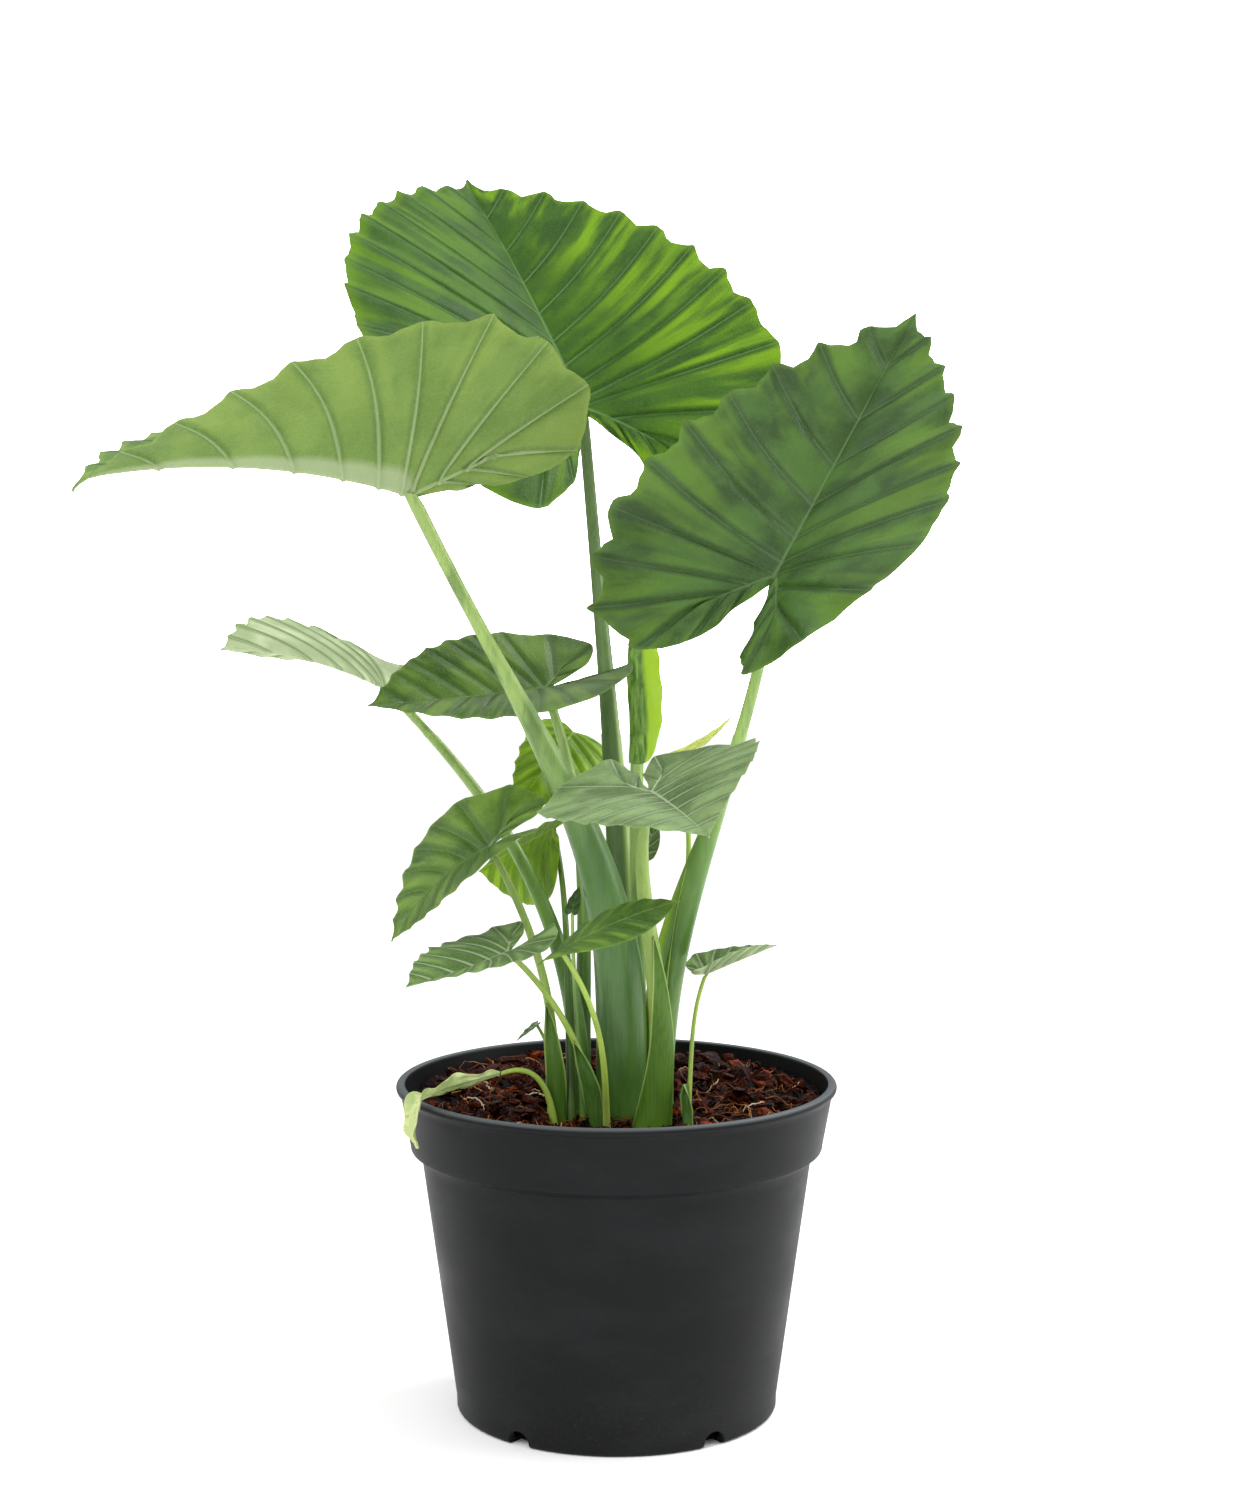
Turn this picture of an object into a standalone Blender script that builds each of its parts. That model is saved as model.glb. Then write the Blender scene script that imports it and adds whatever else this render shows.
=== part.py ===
"""A giant taro growing in its black plastic nursery pot, piece by piece at real size.

Every value is in millimetres and degrees, and the meshes are made in metres.
The origin is the centre of the pot's underside, +Z is up and the front of the plant is -Y.
Each leaf is a blade on its own stalk. The stalks stand in plain holes in the coir.
"""
import math
from dataclasses import dataclass

import bmesh
import bpy
import numpy as np

MM = 0.001
CLEARANCE = 0.3

# Pot
POT_HEIGHT = 226.0
POT_WALL = 2.2
POT_SEGMENTS = 48
LIP_RADIUS = 150.0
COLLAR_TOP_RADIUS = 146.9
COLLAR_FOOT_RADIUS = 140.4
COLLAR_HEIGHT = 44.0
BODY_TOP_RADIUS = 132.6
BODY_FOOT_RADIUS = 109.8
FOOT_RADIUS = 105.5
DRAIN_ANGLES = tuple(-90.0 + 36.0 + 72.0 * step for step in range(5))
DRAIN_RADIUS = 8.5
DRAIN_CENTRE_HEIGHT = 2.0

# Coir
COIR_LEVEL = 212.0
COIR_SLOPE = 0.045
COIR_BUMP = 2.6
COIR_SECTORS = 26
COIR_RING_RADII = (22.0, 46.0, 70.0, 92.0, 112.0, 130.0)

# Corm, the short thick stem in the coir that the stalks grow from
CORM_TOP = 179.4
CORM_HEIGHT = 62.0
CORM_RADIUS = 44.0
CORM_SEGMENTS = 22
CORM_CENTRE = (-2.0, -34.0)
STALK_FOOT_HEIGHT = 180.0

# One half of a blade whose length from stalk to tip is 1: across, forward
HALF_OUTLINE = (
    (0.0, -0.03), (0.055, -0.14), (0.115, -0.28), (0.235, -0.385), (0.375, -0.34), (0.46, -0.17),
    (0.50, 0.05), (0.465, 0.30), (0.36, 0.56), (0.205, 0.78), (0.085, 0.905), (0.022, 0.962), (0.0, 1.0),
)
LOBE_APEX = 3
WIDEST = 6
LOBE_DEPTH = 0.385
LOBE_RIB_END = (0.15, -0.165)
VEIN_BOW = 0.05
OUTLINE_STEPS = 12


@dataclass
class Stalk:
    """A leaf stalk along a smooth curve from its foot to its neck under the blade."""

    foot: tuple
    low: tuple
    high: tuple
    neck: tuple
    radii: tuple
    sides: int = 8
    rings: int = 9
    wing: float = 0.0
    wing_angle: float = 180.0
    wing_top: float = 0.6


@dataclass
class Blade:
    """A leaf blade. Pairs hold the left and the right half, seen from above with the tip ahead."""

    length: float
    width: float
    heading: float
    pitch: float
    roll: float = 0.0
    lobe: float = 1.0
    arch: float = 0.0
    lobe_arch: float = 0.0
    fold: tuple = (10.0, 10.0)
    cup: tuple = (0.0, 0.0)
    flare: tuple = (0.0, 0.0)
    taper: tuple = (0.0, 0.0)
    spread: tuple = (0.0, 0.0)
    twist: float = 0.0
    sweep: float = 0.0
    uneven: float = 0.0
    lobe_uneven: float = 0.0
    wave: float = 3.0
    scallop: float = 3.0
    puff: float = 1.0
    lobe_veins: int = 2
    veins: int = 7
    vein_sweep: float = 1.5
    rows_per_vein: int = 3
    columns: int = 2
    drop: float = 0.0
    thickness: float = 1.1
    seed: int = 1


LEAVES = {
    "top": (
        Stalk((3, -6), (8, 22, 349), (-9, 57, 515), (-24, 100, 686), radii=(9.5, 8.5, 6.0, 4.6, 3.9),
              sides=10, wing=0.55, wing_angle=-20, wing_top=0.75),
        Blade(length=292, width=330, heading=114, pitch=43, roll=0, lobe=1.01, arch=9, lobe_arch=23,
              fold=(24, 20), cup=(-14, -2), flare=(-1, 3), taper=(-0.08, -0.06), spread=(-0.09, 0.08),
              twist=2, uneven=-0.09, lobe_uneven=0.08, wave=2.4, scallop=3.2, puff=2.6, lobe_veins=3,
              veins=9, columns=3, vein_sweep=1.7, seed=11),
    ),
    "left": (
        Stalk((-2, -36), (22, -53, 387), (-36, -68, 423), (-130, -100, 622),
              radii=(16.5, 16.0, 10.5, 4.9, 4.5), sides=12, rings=12),
        Blade(length=235, width=264, heading=217, pitch=14, roll=8, lobe=0.99, arch=25, lobe_arch=8,
              fold=(54, 37), cup=(-12, -14), flare=(-28, -27), taper=(0.15, 0.04), spread=(0.05, 0.18),
              twist=6, sweep=0.02, uneven=0.03, lobe_uneven=-0.04, wave=1.4, scallop=2.6, puff=2.2,
              lobe_veins=3, veins=7, columns=3, vein_sweep=1.8, seed=12),
    ),
    "right": (
        Stalk((32, -28), (16, -28, 329), (86, -55, 428), (103, -60, 570),
              radii=(8.6, 8.2, 6.6, 4.2, 3.4), sides=10, rings=11, wing=0.9, wing_angle=180,
              wing_top=0.6),
        Blade(length=230, width=242, heading=48, pitch=49, roll=4, lobe=1.05, arch=-3, lobe_arch=-5,
              fold=(22, 19), cup=(-2, -12), flare=(-3, -22), taper=(0.01, 0.13), spread=(-0.06, -0.16),
              twist=-4, sweep=0.02, uneven=-0.02, lobe_uneven=0.06, wave=2.4, scallop=4.6, puff=2.6,
              lobe_veins=3, veins=7, columns=3, vein_sweep=1.6, seed=13),
    ),
    "middle_left": (
        Stalk((-20, -15), (-31, -8, 280), (-5, 8, 383), (-49, 20, 492),
              radii=(6.0, 5.5, 4.6, 3.8, 3.2)),
        Blade(length=128, width=136, heading=203, pitch=-6, roll=-13, lobe=1.07, arch=-5, lobe_arch=-17,
              fold=(19, 18), cup=(-22, 1), flare=(-14, 9), taper=(-0.04, -0.04), spread=(0.0, -0.05),
              twist=3, sweep=-0.02, uneven=0.01, lobe_uneven=-0.03, wave=0.9, scallop=1.0, puff=1.4,
              seed=14),
    ),
    "far_left": (
        Stalk((-25, -46), (-16, -34, 306), (-51, 14, 387), (-163, 75, 489),
              radii=(7.0, 6.5, 5.0, 3.8, 3.0), rings=10),
        Blade(length=139, width=132, heading=158, pitch=23, roll=-6, lobe=0.93, arch=26, lobe_arch=6,
              fold=(47, 13), cup=(-24, -16), flare=(-13, -20), taper=(-0.12, -0.06),
              spread=(-0.06, -0.09), twist=-18, sweep=0.01, uneven=-0.03, lobe_uneven=0.03, wave=1.0,
              scallop=1.5, puff=1.6, vein_sweep=2.4, seed=15),
    ),
    "centre": (
        Stalk((16, -66), (50, -73, 295), (0, -103, 364), (22, -120, 435),
              radii=(15.5, 8.0, 6.2, 4.6, 3.4), sides=10, rings=10),
        Blade(length=128, width=148, heading=-74, pitch=-5, roll=17, lobe=1.06, arch=2, lobe_arch=-18,
              fold=(13, 16), cup=(-9, -15), flare=(18, 2), taper=(0.09, -0.02), spread=(-0.28, -0.52),
              twist=2, sweep=0.03, uneven=0.02, lobe_uneven=0.12, wave=1.2, scallop=1.2, puff=1.4,
              seed=16),
    ),
    "low_left": (
        Stalk((-37, -60), (-43, -60, 247), (-31, -60, 299), (-83, -60, 393),
              radii=(5.0, 3.4, 2.9, 2.6, 2.3)),
        Blade(length=91, width=95, heading=186, pitch=-27, roll=-10, lobe=1.05, arch=34, lobe_arch=15,
              fold=(12, 24), cup=(-6, 16), flare=(-17, -7), taper=(-0.01, 0.16), spread=(0.0, -0.05),
              twist=2, sweep=-0.02, lobe_uneven=0.17, wave=0.8, scallop=0.9, puff=1.2, veins=6, seed=17),
    ),
    "bottom_left": (
        Stalk((-13, -66), (-9, -70, 235), (-28, -86, 289), (-70, -95, 329),
              radii=(3.5, 2.6, 2.2, 2.0, 1.8)),
        Blade(length=76, width=87, heading=215, pitch=-16, roll=0, lobe=0.96, arch=-8, lobe_arch=-28,
              fold=(13, 21), cup=(-12, -28), flare=(-2, 14), taper=(0.17, -0.08), spread=(-0.05, -0.17),
              twist=-3, sweep=0.04, uneven=0.02, lobe_uneven=-0.05, wave=0.8, scallop=1.5, veins=6,
              puff=1.0, seed=18),
    ),
    "small_centre": (
        Stalk((-4, -68), (-11, -79, 232), (2, -119, 280), (-35, -140, 337),
              radii=(3.0, 2.4, 2.0, 1.8, 1.6)),
        Blade(length=82, width=59, heading=12, pitch=29, roll=-27, lobe=0.48, arch=16, lobe_arch=4,
              fold=(19, -14), cup=(-2, -15), flare=(30, -37), taper=(0.16, -0.1), spread=(0.01, 0.0),
              twist=-17, sweep=-0.02, uneven=0.03, lobe_uneven=-0.03, wave=0.3, scallop=0.3, puff=0.5,
              lobe_veins=1, veins=6, drop=0.4, seed=19),
    ),
    "small_right": (
        Stalk((41, -78), (53, -76, 226), (43, -66, 272), (59, -60, 309),
              radii=(2.4, 1.7, 1.5, 1.4, 1.3), sides=6),
        Blade(length=51, width=46, heading=14, pitch=20, roll=-1, lobe=0.64, arch=0, lobe_arch=-25,
              fold=(28, 24), cup=(-5, 5), flare=(2, 3), taper=(0.02, 0.1), spread=(-0.04, 0.0),
              twist=14, sweep=0.03, lobe_uneven=0.1, wave=0.3, scallop=0.3, puff=0.5, lobe_veins=1,
              veins=5, seed=20),
    ),
    "behind_centre": (
        Stalk((-12, 0), (-6, 45, 270), (-18, 86, 362), (-31, 90, 456), radii=(4.0, 3.4, 2.9, 2.5, 2.2)),
        Blade(length=86, width=76, heading=244, pitch=-26, roll=-22, lobe=0.63, arch=30, lobe_arch=27,
              fold=(-23, -13), cup=(-8, -9), flare=(9, -13), taper=(0.13, 0.02), spread=(0.2, 0.27),
              twist=-4, sweep=0.07, uneven=-0.13, lobe_uneven=0.03, wave=1.0, scallop=1.2, lobe_veins=1,
              veins=6, drop=0.9, seed=21),
    ),
    "behind_low_left": (
        Stalk((-28.5, -57), (-33, -62, 280), (-30, -10, 350), (-44, 35, 394),
              radii=(3.5, 2.8, 2.4, 2.0, 1.8)),
        Blade(length=82, width=98, heading=137, pitch=-25, roll=-34, lobe=0.57, arch=2, lobe_arch=4,
              fold=(-11, -11), cup=(-39, -17), flare=(-24, 9), taper=(-0.01, 0.12), spread=(0.01, 0.0),
              twist=9, sweep=-0.02, uneven=-0.07, lobe_uneven=0.15, wave=0.8, scallop=1.2, lobe_veins=1,
              veins=6, drop=0.5, seed=22),
    ),
    "pale": (
        Stalk((31, -8), (6, -2, 283), (77, 18, 354), (37, 30, 442), radii=(2.5, 2.2, 2.0, 1.8, 1.4),
              sides=6),
        Blade(length=58, width=13, heading=8, pitch=20, roll=-40, lobe=0.4, arch=-35, wave=0.4,
              scallop=0.2, puff=0.3, lobe_veins=1, veins=4, rows_per_vein=2, seed=23),
    ),
    "back_small": (
        Stalk((14, 12), (13, 20, 245), (15, 40, 307), (20, 46, 375), radii=(2.5, 2.1, 1.8, 1.6, 1.3),
              sides=6),
        Blade(length=27, width=20, heading=60, pitch=50, lobe=0.6, wave=0.6, scallop=0.4, puff=0.3,
              lobe_veins=1, veins=3, rows_per_vein=2, seed=24),
    ),
    "bud": (
        Stalk((-22, -60), (-21, -60, 236), (-29, -60, 292), (-29, -60, 350),
              radii=(2.0, 1.7, 1.5, 1.4, 1.1), sides=6),
        Blade(length=18, width=11, heading=60, pitch=60, lobe=0.4, wave=0.3, scallop=0.2, puff=0.2,
              lobe_veins=1, veins=3, rows_per_vein=2, seed=25),
    ),
    "rim_small": (
        Stalk((-47, -46), (-49, -46, 211), (-33, -45, 241), (-53, -45, 272),
              radii=(2.0, 1.7, 1.5, 1.3, 1.0), sides=6),
        Blade(length=17, width=10, heading=200, pitch=-35, lobe=0.4, wave=0.3, scallop=0.2, puff=0.2,
              lobe_veins=1, veins=3, rows_per_vein=2, seed=26),
    ),
}

# The newest leaf, still rolled round itself, with one loose edge to its right
FURLED_STALK = Stalk((19.5, -13), (16, -12, 262), (12, 2, 356), (14, 14, 441), (6.0, 5.2, 4.8, 4.6, 4.4))
FURLED_TOP = (11, 26, 556)
FURLED_RADIUS = 4.6
FURLED_MARGIN = 13.5
FURLED_MARGIN_THICKNESS = 1.2
FURLED_RINGS = 12

# The withered leaf that hangs over the rim
WITHERED_STALK = Stalk((-40, -70), (-38, -70, 240), (-54, -76, 254), (-75.2, -78.3, 246),
                       (3.0, 2.6, 2.2, 1.8, 1.5), sides=6)
WITHERED_ROUTE = (
    (-76, -78.5, 246), (-98, -82, 241), (-117, -86, 235), (-128, -90, 230.5),
    (-132, -93, 221), (-131, -95, 210), (-129, -97, 201),
)
WITHERED_HALF_WIDTHS = (1.5, 5.0, 7.5, 8.5, 9.0, 6.5, 0.8)
WITHERED_ACROSS = ((0.1, -0.55, 0.8), (0.55, -0.83, 0.0))
WITHERED_ROWS = 14
WITHERED_COLUMNS = 4
WITHERED_CRUMPLE = 1.6


def make_material(name, hex_colour, roughness):
    """Return a Principled material from an sRGB hex colour."""
    channels = [int(hex_colour[i:i + 2], 16) / 255.0 for i in (1, 3, 5)]
    linear = [c / 12.92 if c <= 0.04045 else ((c + 0.055) / 1.055) ** 2.4 for c in channels]
    material = bpy.data.materials.new(name)
    material.use_nodes = True
    shader = material.node_tree.nodes["Principled BSDF"]
    shader.inputs["Base Color"].default_value = (*linear, 1.0)
    shader.inputs["Roughness"].default_value = roughness
    return material


def add_object(name, mesh_builder, material):
    """Turn a bmesh in metres into a named object with one material."""
    mesh = bpy.data.meshes.new(name)
    mesh_builder.to_mesh(mesh)
    mesh_builder.free()
    mesh.materials.append(material)
    thing = bpy.data.objects.new(name, mesh)
    bpy.context.scene.collection.objects.link(thing)
    mesh.shade_smooth()
    mesh.set_sharp_from_angle(angle=math.radians(40))
    return thing


def smooth_curve(points, steps):
    """Return a Catmull-Rom curve through the points, with the given steps between each two."""
    points = np.asarray(points, float)
    padded = np.vstack([2 * points[0] - points[1], points, 2 * points[-1] - points[-2]])
    pieces = []
    t = np.linspace(0.0, 1.0, steps, endpoint=False)[:, None]
    for a, b, c, d in zip(padded, padded[1:], padded[2:], padded[3:]):
        pieces.append(0.5 * (2 * b + (c - a) * t + (2 * a - 5 * b + 4 * c - d) * t ** 2
                             + (3 * b - a - 3 * c + d) * t ** 3))
    pieces.append(points[-1:])
    return np.vstack(pieces)


def point_along(curve, fraction):
    """Return the points at the given fractions of a curve's length."""
    lengths = np.r_[0.0, np.cumsum(np.linalg.norm(np.diff(curve, axis=0), axis=1))]
    wanted = np.asarray(fraction) * lengths[-1]
    return np.stack([np.interp(wanted, lengths, column) for column in curve.T], axis=-1)


def bezier(points, t):
    """Return the points at t of a cubic curve with four control points."""
    a, b, c, d = (np.asarray(p, float) for p in points)
    t = np.asarray(t)[:, None]
    return (1 - t) ** 3 * a + 3 * t * (1 - t) ** 2 * b + 3 * t ** 2 * (1 - t) * c + t ** 3 * d


def flat_half(blade):
    """Lay out half a blade of length 1 as lines that run from a rib to the margin.

    The lines go down the inner side of the lobe's rib, back up its outer side and then along
    the midrib. Returns the grid (across, forward), each line's vein number and the share of
    the way from rib to margin.
    """
    outline = smooth_curve(HALF_OUTLINE, OUTLINE_STEPS)
    inner = outline[:LOBE_APEX * OUTLINE_STEPS + 1]
    outer = outline[LOBE_APEX * OUTLINE_STEPS:WIDEST * OUTLINE_STEPS + 1]
    ahead = outline[WIDEST * OUTLINE_STEPS:]
    lobe_rows = blade.lobe_veins * blade.rows_per_vein
    ahead_rows = blade.veins * blade.rows_per_vein
    lobe_steps = np.arange(lobe_rows + 1) / lobe_rows
    ahead_steps = np.arange(1, ahead_rows + 1) / ahead_rows
    rib = np.asarray(LOBE_RIB_END)
    starts = np.vstack([
        lobe_steps[:, None] * rib,
        (1.0 - lobe_steps[1:, None]) * rib,
        np.stack([np.zeros(ahead_rows), ahead_steps ** blade.vein_sweep], axis=-1),
    ])
    ends = np.vstack([
        point_along(inner, lobe_steps),
        point_along(outer, lobe_steps[1:]),
        point_along(ahead, ahead_steps ** 0.9),
    ])
    share = np.linspace(0.0, 1.0, blade.columns + 1)
    grid = starts[:, None] + (ends - starts)[:, None] * share[None, :, None]
    bow = np.zeros(len(starts))
    bow[2 * lobe_rows:] = np.sin(np.linspace(0.0, math.pi, ahead_rows + 1)) ** 0.6
    reach = np.linalg.norm(ends - starts, axis=1)
    grid[..., 1] -= VEIN_BOW * (bow * reach)[:, None] * np.sin(math.pi * share)[None]
    return grid, np.arange(len(starts)) / blade.rows_per_vein, share


def edge_strength(blade, side, vein):
    """Return how strongly the edge is waved at each vein number, with a seeded draw a vein."""
    total = 2 * blade.lobe_veins + blade.veins
    draw = np.random.default_rng(blade.seed * 2 + (side > 0)).uniform(0.4, 1.4, total + 1)
    strength = np.interp(vein, np.arange(total + 1), draw)
    return strength * np.clip(vein, 0, 1) * np.clip((total - vein) / 1.5, 0, 1)


def bent_run(start_angle, bend, distance):
    """Return how far along and how far up a line gets that starts at an angle and bends evenly."""
    bend = np.where(np.abs(bend) < 1e-5, 1e-5, bend)
    end_angle = start_angle + bend * distance
    along = (np.sin(end_angle) - np.sin(start_angle)) / bend
    up = (np.cos(start_angle) - np.cos(end_angle)) / bend
    return along, up


def blade_axes(blade):
    """Return the blade's forward, right and up directions at its neck."""
    heading, pitch, roll = (math.radians(v) for v in (blade.heading, blade.pitch, blade.roll))
    forward = np.array([math.cos(heading) * math.cos(pitch), math.sin(heading) * math.cos(pitch),
                        math.sin(pitch)])
    level = np.array([math.sin(heading), -math.cos(heading), 0.0])
    above = np.cross(level, forward)
    right = level * math.cos(roll) - above * math.sin(roll)
    up = above * math.cos(roll) + level * math.sin(roll)
    return forward, right, up


def bent_half(blade, neck, side):
    """Return half of a blade in place: flat outline, then folded, cupped, waved and arched.

    Args:
        blade: the leaf's values.
        neck: where the stalk meets the blade.
        side: -1 for the left half and 1 for the right half.
    """
    flat, vein, share = flat_half(blade)
    half = 0 if side < 0 else 1
    across = flat[..., 0] * blade.width * (1 + side * blade.uneven)
    across = across * (1 - blade.taper[half] * np.clip(flat[..., 1], 0, 1) ** 1.3)
    across = across + blade.width * blade.spread[half] * np.clip(-flat[..., 1] - 0.02, 0, 1)
    lobe = blade.lobe * (1 + side * blade.lobe_uneven * np.clip(flat[..., 0] / 0.05, 0, 1))
    ahead = flat[..., 1] * blade.length * np.where(flat[..., 1] < 0, lobe, 1.0)

    strength = edge_strength(blade, side, vein)[:, None]
    bump = np.abs(np.sin(math.pi * vein))[:, None] * strength
    outward = np.stack([across[:, -1:] - across[:, :1], ahead[:, -1:] - ahead[:, :1]], axis=-1)
    outward = outward / np.maximum(np.linalg.norm(outward, axis=-1, keepdims=True), 1e-6)
    push = blade.scallop * (0.5 * strength - bump) * share[None] ** 4
    across = across + outward[..., 0] * push
    ahead = ahead + outward[..., 1] * push

    half_width = 0.5 * blade.width
    fold = math.radians(blade.fold[half])
    fold = fold + math.radians(blade.flare[half]) * np.clip(ahead / blade.length, -0.4, 1.0)
    run, lift = bent_run(fold, math.radians(blade.cup[half]) / half_width, across)
    lift = lift + blade.wave * strength * np.cos(2 * math.pi * vein)[:, None] * share[None] ** 2
    lift = lift + blade.puff * bump * np.sin(math.pi * share)[None]
    twist = math.radians(blade.twist) * np.clip(ahead / blade.length, 0, 1)
    run, lift = (side * run * np.cos(twist) - lift * np.sin(twist),
                 lift * np.cos(twist) + side * run * np.sin(twist))

    arch = -math.radians(blade.arch) / blade.length
    lobe_arch = math.radians(blade.lobe_arch) / (LOBE_DEPTH * blade.length * blade.lobe)
    tipward, rise = bent_run(0.0, arch, np.maximum(ahead, 0))
    backward, sink = bent_run(0.0, lobe_arch, np.maximum(-ahead, 0))
    slope = arch * np.maximum(ahead, 0) + lobe_arch * np.maximum(-ahead, 0)
    x = run + blade.sweep * blade.length * (np.maximum(ahead, 0) / blade.length) ** 2
    y = tipward - backward - lift * np.sin(slope)
    z = rise - sink + lift * np.cos(slope)
    forward, right, up = blade_axes(blade)
    return np.asarray(neck) + x[..., None] * right + y[..., None] * forward + z[..., None] * up


def sheet_mesh(grids):
    """Join grids of points in millimetres into one sheet of triangles, welded where they meet.

    Args:
        grids: pairs of a grid and True where its faces are to be turned over.
    """
    sheet = bmesh.new()
    for grid, turned in grids:
        rows, columns = grid.shape[:2]
        verts = [[sheet.verts.new(grid[i, j] * MM) for j in range(columns)] for i in range(rows)]
        for i in range(rows - 1):
            for j in range(columns - 1):
                a, b = verts[i][j], verts[i + 1][j]
                c, d = verts[i + 1][j + 1], verts[i][j + 1]
                for corners in ((a, b, c), (a, c, d)):
                    sheet.faces.new(corners[::-1] if turned else corners)
    bmesh.ops.remove_doubles(sheet, verts=sheet.verts, dist=0.02 * MM)
    return sheet


def add_sheet(name, grids, thickness, material):
    """Make a sheet of even thickness, with its triangles alike on both faces."""
    thing = add_object(name, sheet_mesh(grids), material)
    solidify = thing.modifiers.new("thickness", "SOLIDIFY")
    solidify.thickness = thickness * MM
    solidify.offset = 0.0
    return thing


def add_loft(name, rings, material):
    """Make a closed body through rings of points in millimetres, with flat ends."""
    body = bmesh.new()
    loops = [[body.verts.new(np.asarray(p) * MM) for p in ring] for ring in rings]
    count = len(loops[0])
    for lower, upper in zip(loops, loops[1:]):
        for k in range(count):
            following = (k + 1) % count
            body.faces.new((lower[k], lower[following], upper[following]))
            body.faces.new((lower[k], upper[following], upper[k]))
    body.faces.new(loops[0][::-1])
    body.faces.new(loops[-1])
    bmesh.ops.recalc_face_normals(body, faces=body.faces)
    bmesh.ops.triangulate(body, faces=body.faces)
    return add_object(name, body, material)


def ring_frames(path):
    """Return two directions square to a path at each of its points."""
    tangents = np.gradient(path, axis=0)
    tangents[0] = (0.0, 0.0, 1.0)
    tangents /= np.linalg.norm(tangents, axis=1, keepdims=True)
    first = np.cross((0.0, 1.0, 0.0), tangents)
    first /= np.linalg.norm(first, axis=1, keepdims=True)
    return first, np.cross(tangents, first)


def stalk_path(stalk):
    """Return points and radii along a stalk."""
    curve = bezier(((*stalk.foot, STALK_FOOT_HEIGHT), stalk.low, stalk.high, stalk.neck),
                   np.linspace(0.0, 1.0, 200))
    stops = np.linspace(0.0, 1.0, stalk.rings + 1)
    knots = smooth_curve([[r] for r in stalk.radii], 12)[:, 0]
    return point_along(curve, stops), np.interp(stops, np.linspace(0, 1, len(knots)), knots)


def stalk_rings(stalk, seat=(0.0, 0.0, 1.0), drop=0.0, grow=0.0):
    """Return the rings of a stalk, round but for the wing of its sheath.

    Args:
        stalk: the stalk's values.
        seat: the direction square to the face that its top lies against.
        drop: how far below its neck that face is.
        grow: how much wider and deeper the body is made, for the hole that it stands in.
    """
    path, radii = stalk_path(stalk)
    first, second = ring_frames(path)
    seat = np.asarray(seat)
    path[-1] -= drop * seat
    first[-1] -= (first[-1] @ seat) * seat
    first[-1] /= np.linalg.norm(first[-1])
    second[-1] = np.cross(seat, first[-1])
    path[0, 2] -= 2 * grow
    turns = np.arange(stalk.sides) / stalk.sides * 2 * math.pi
    toward = np.cos(turns - math.radians(stalk.wing_angle))
    rings = []
    for index, (centre, radius) in enumerate(zip(path, radii)):
        height = index / (len(path) - 1)
        fade = math.sin(math.pi * min(1.0, height / stalk.wing_top)) if stalk.wing else 0.0
        reach = radius * (1 + stalk.wing * fade * np.maximum(toward, 0) ** 4) + grow
        rings.append(centre + (reach * np.cos(turns))[:, None] * first[index]
                     + (reach * np.sin(turns))[:, None] * second[index])
    return rings


def add_leaf_stalk(name, stalk, blade, material):
    """Make the stalk of a leaf, its top flush with the blade's underside."""
    drop = 0.5 * blade.thickness + CLEARANCE + blade.drop
    return add_loft(name, stalk_rings(stalk, blade_axes(blade)[2], drop), material)


def add_blade(name, blade, neck, material):
    """Make one leaf blade from its two halves."""
    halves = [(bent_half(blade, neck, side), side > 0) for side in (-1, 1)]
    return add_sheet(name, halves, blade.thickness, material)


def add_furled_blade(material):
    """Make the rolled blade: a tapered roll with one loose edge standing off it."""
    lower = np.asarray(FURLED_STALK.neck, float)
    upper = np.asarray(FURLED_TOP, float)
    steps = np.linspace(0.0, 1.0, FURLED_RINGS)
    turns = np.radians(np.linspace(22.0, 338.0, 11))
    rings = []
    for step in steps:
        centre = lower + (upper - lower) * step + np.array((0, 0, CLEARANCE)) * (1 - step)
        radius = FURLED_RADIUS * (1 - step ** 3) + 0.6
        margin = radius + 0.6 + FURLED_MARGIN * max(0.0, math.sin(math.pi * min(1, step * 1.05))) ** 0.6
        half = 0.5 * FURLED_MARGIN_THICKNESS
        ring = [(radius * math.cos(a), radius * math.sin(a), 0.0) for a in turns]
        ring += [(margin, -half, 0.0), (margin, half, 0.0)]
        rings.append(centre + np.asarray(ring))
    return add_loft("blade_furled", rings, material)


def add_withered_blade(material):
    """Make the withered blade, a crumpled ribbon that bends over the rim and hangs outside."""
    steps = np.linspace(0.0, 1.0, WITHERED_ROWS + 1)
    route = point_along(smooth_curve(WITHERED_ROUTE, 10), steps)
    widths = np.interp(steps, np.linspace(0, 1, len(WITHERED_HALF_WIDTHS)), WITHERED_HALF_WIDTHS)
    turn = np.clip((steps - 0.35) / 0.35, 0, 1)[:, None]
    sides = (1 - turn) * np.asarray(WITHERED_ACROSS[0]) + turn * np.asarray(WITHERED_ACROSS[1])
    sides /= np.linalg.norm(sides, axis=1, keepdims=True)
    normals = np.cross(np.gradient(route, axis=0), sides)
    normals /= np.linalg.norm(normals, axis=1, keepdims=True)
    share = np.linspace(-1.0, 1.0, WITHERED_COLUMNS + 1)
    crumple = WITHERED_CRUMPLE * np.sin(steps * 23.0)[:, None] * share[None] ** 2
    trough = 0.35 * widths[:, None] * share[None] ** 2
    grid = (route[:, None] + sides[:, None] * (widths[:, None] * share[None])[..., None]
            + normals[:, None] * (crumple + trough)[..., None])
    return add_sheet("blade_withered", [(grid, False)], 1.0, material)


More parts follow.
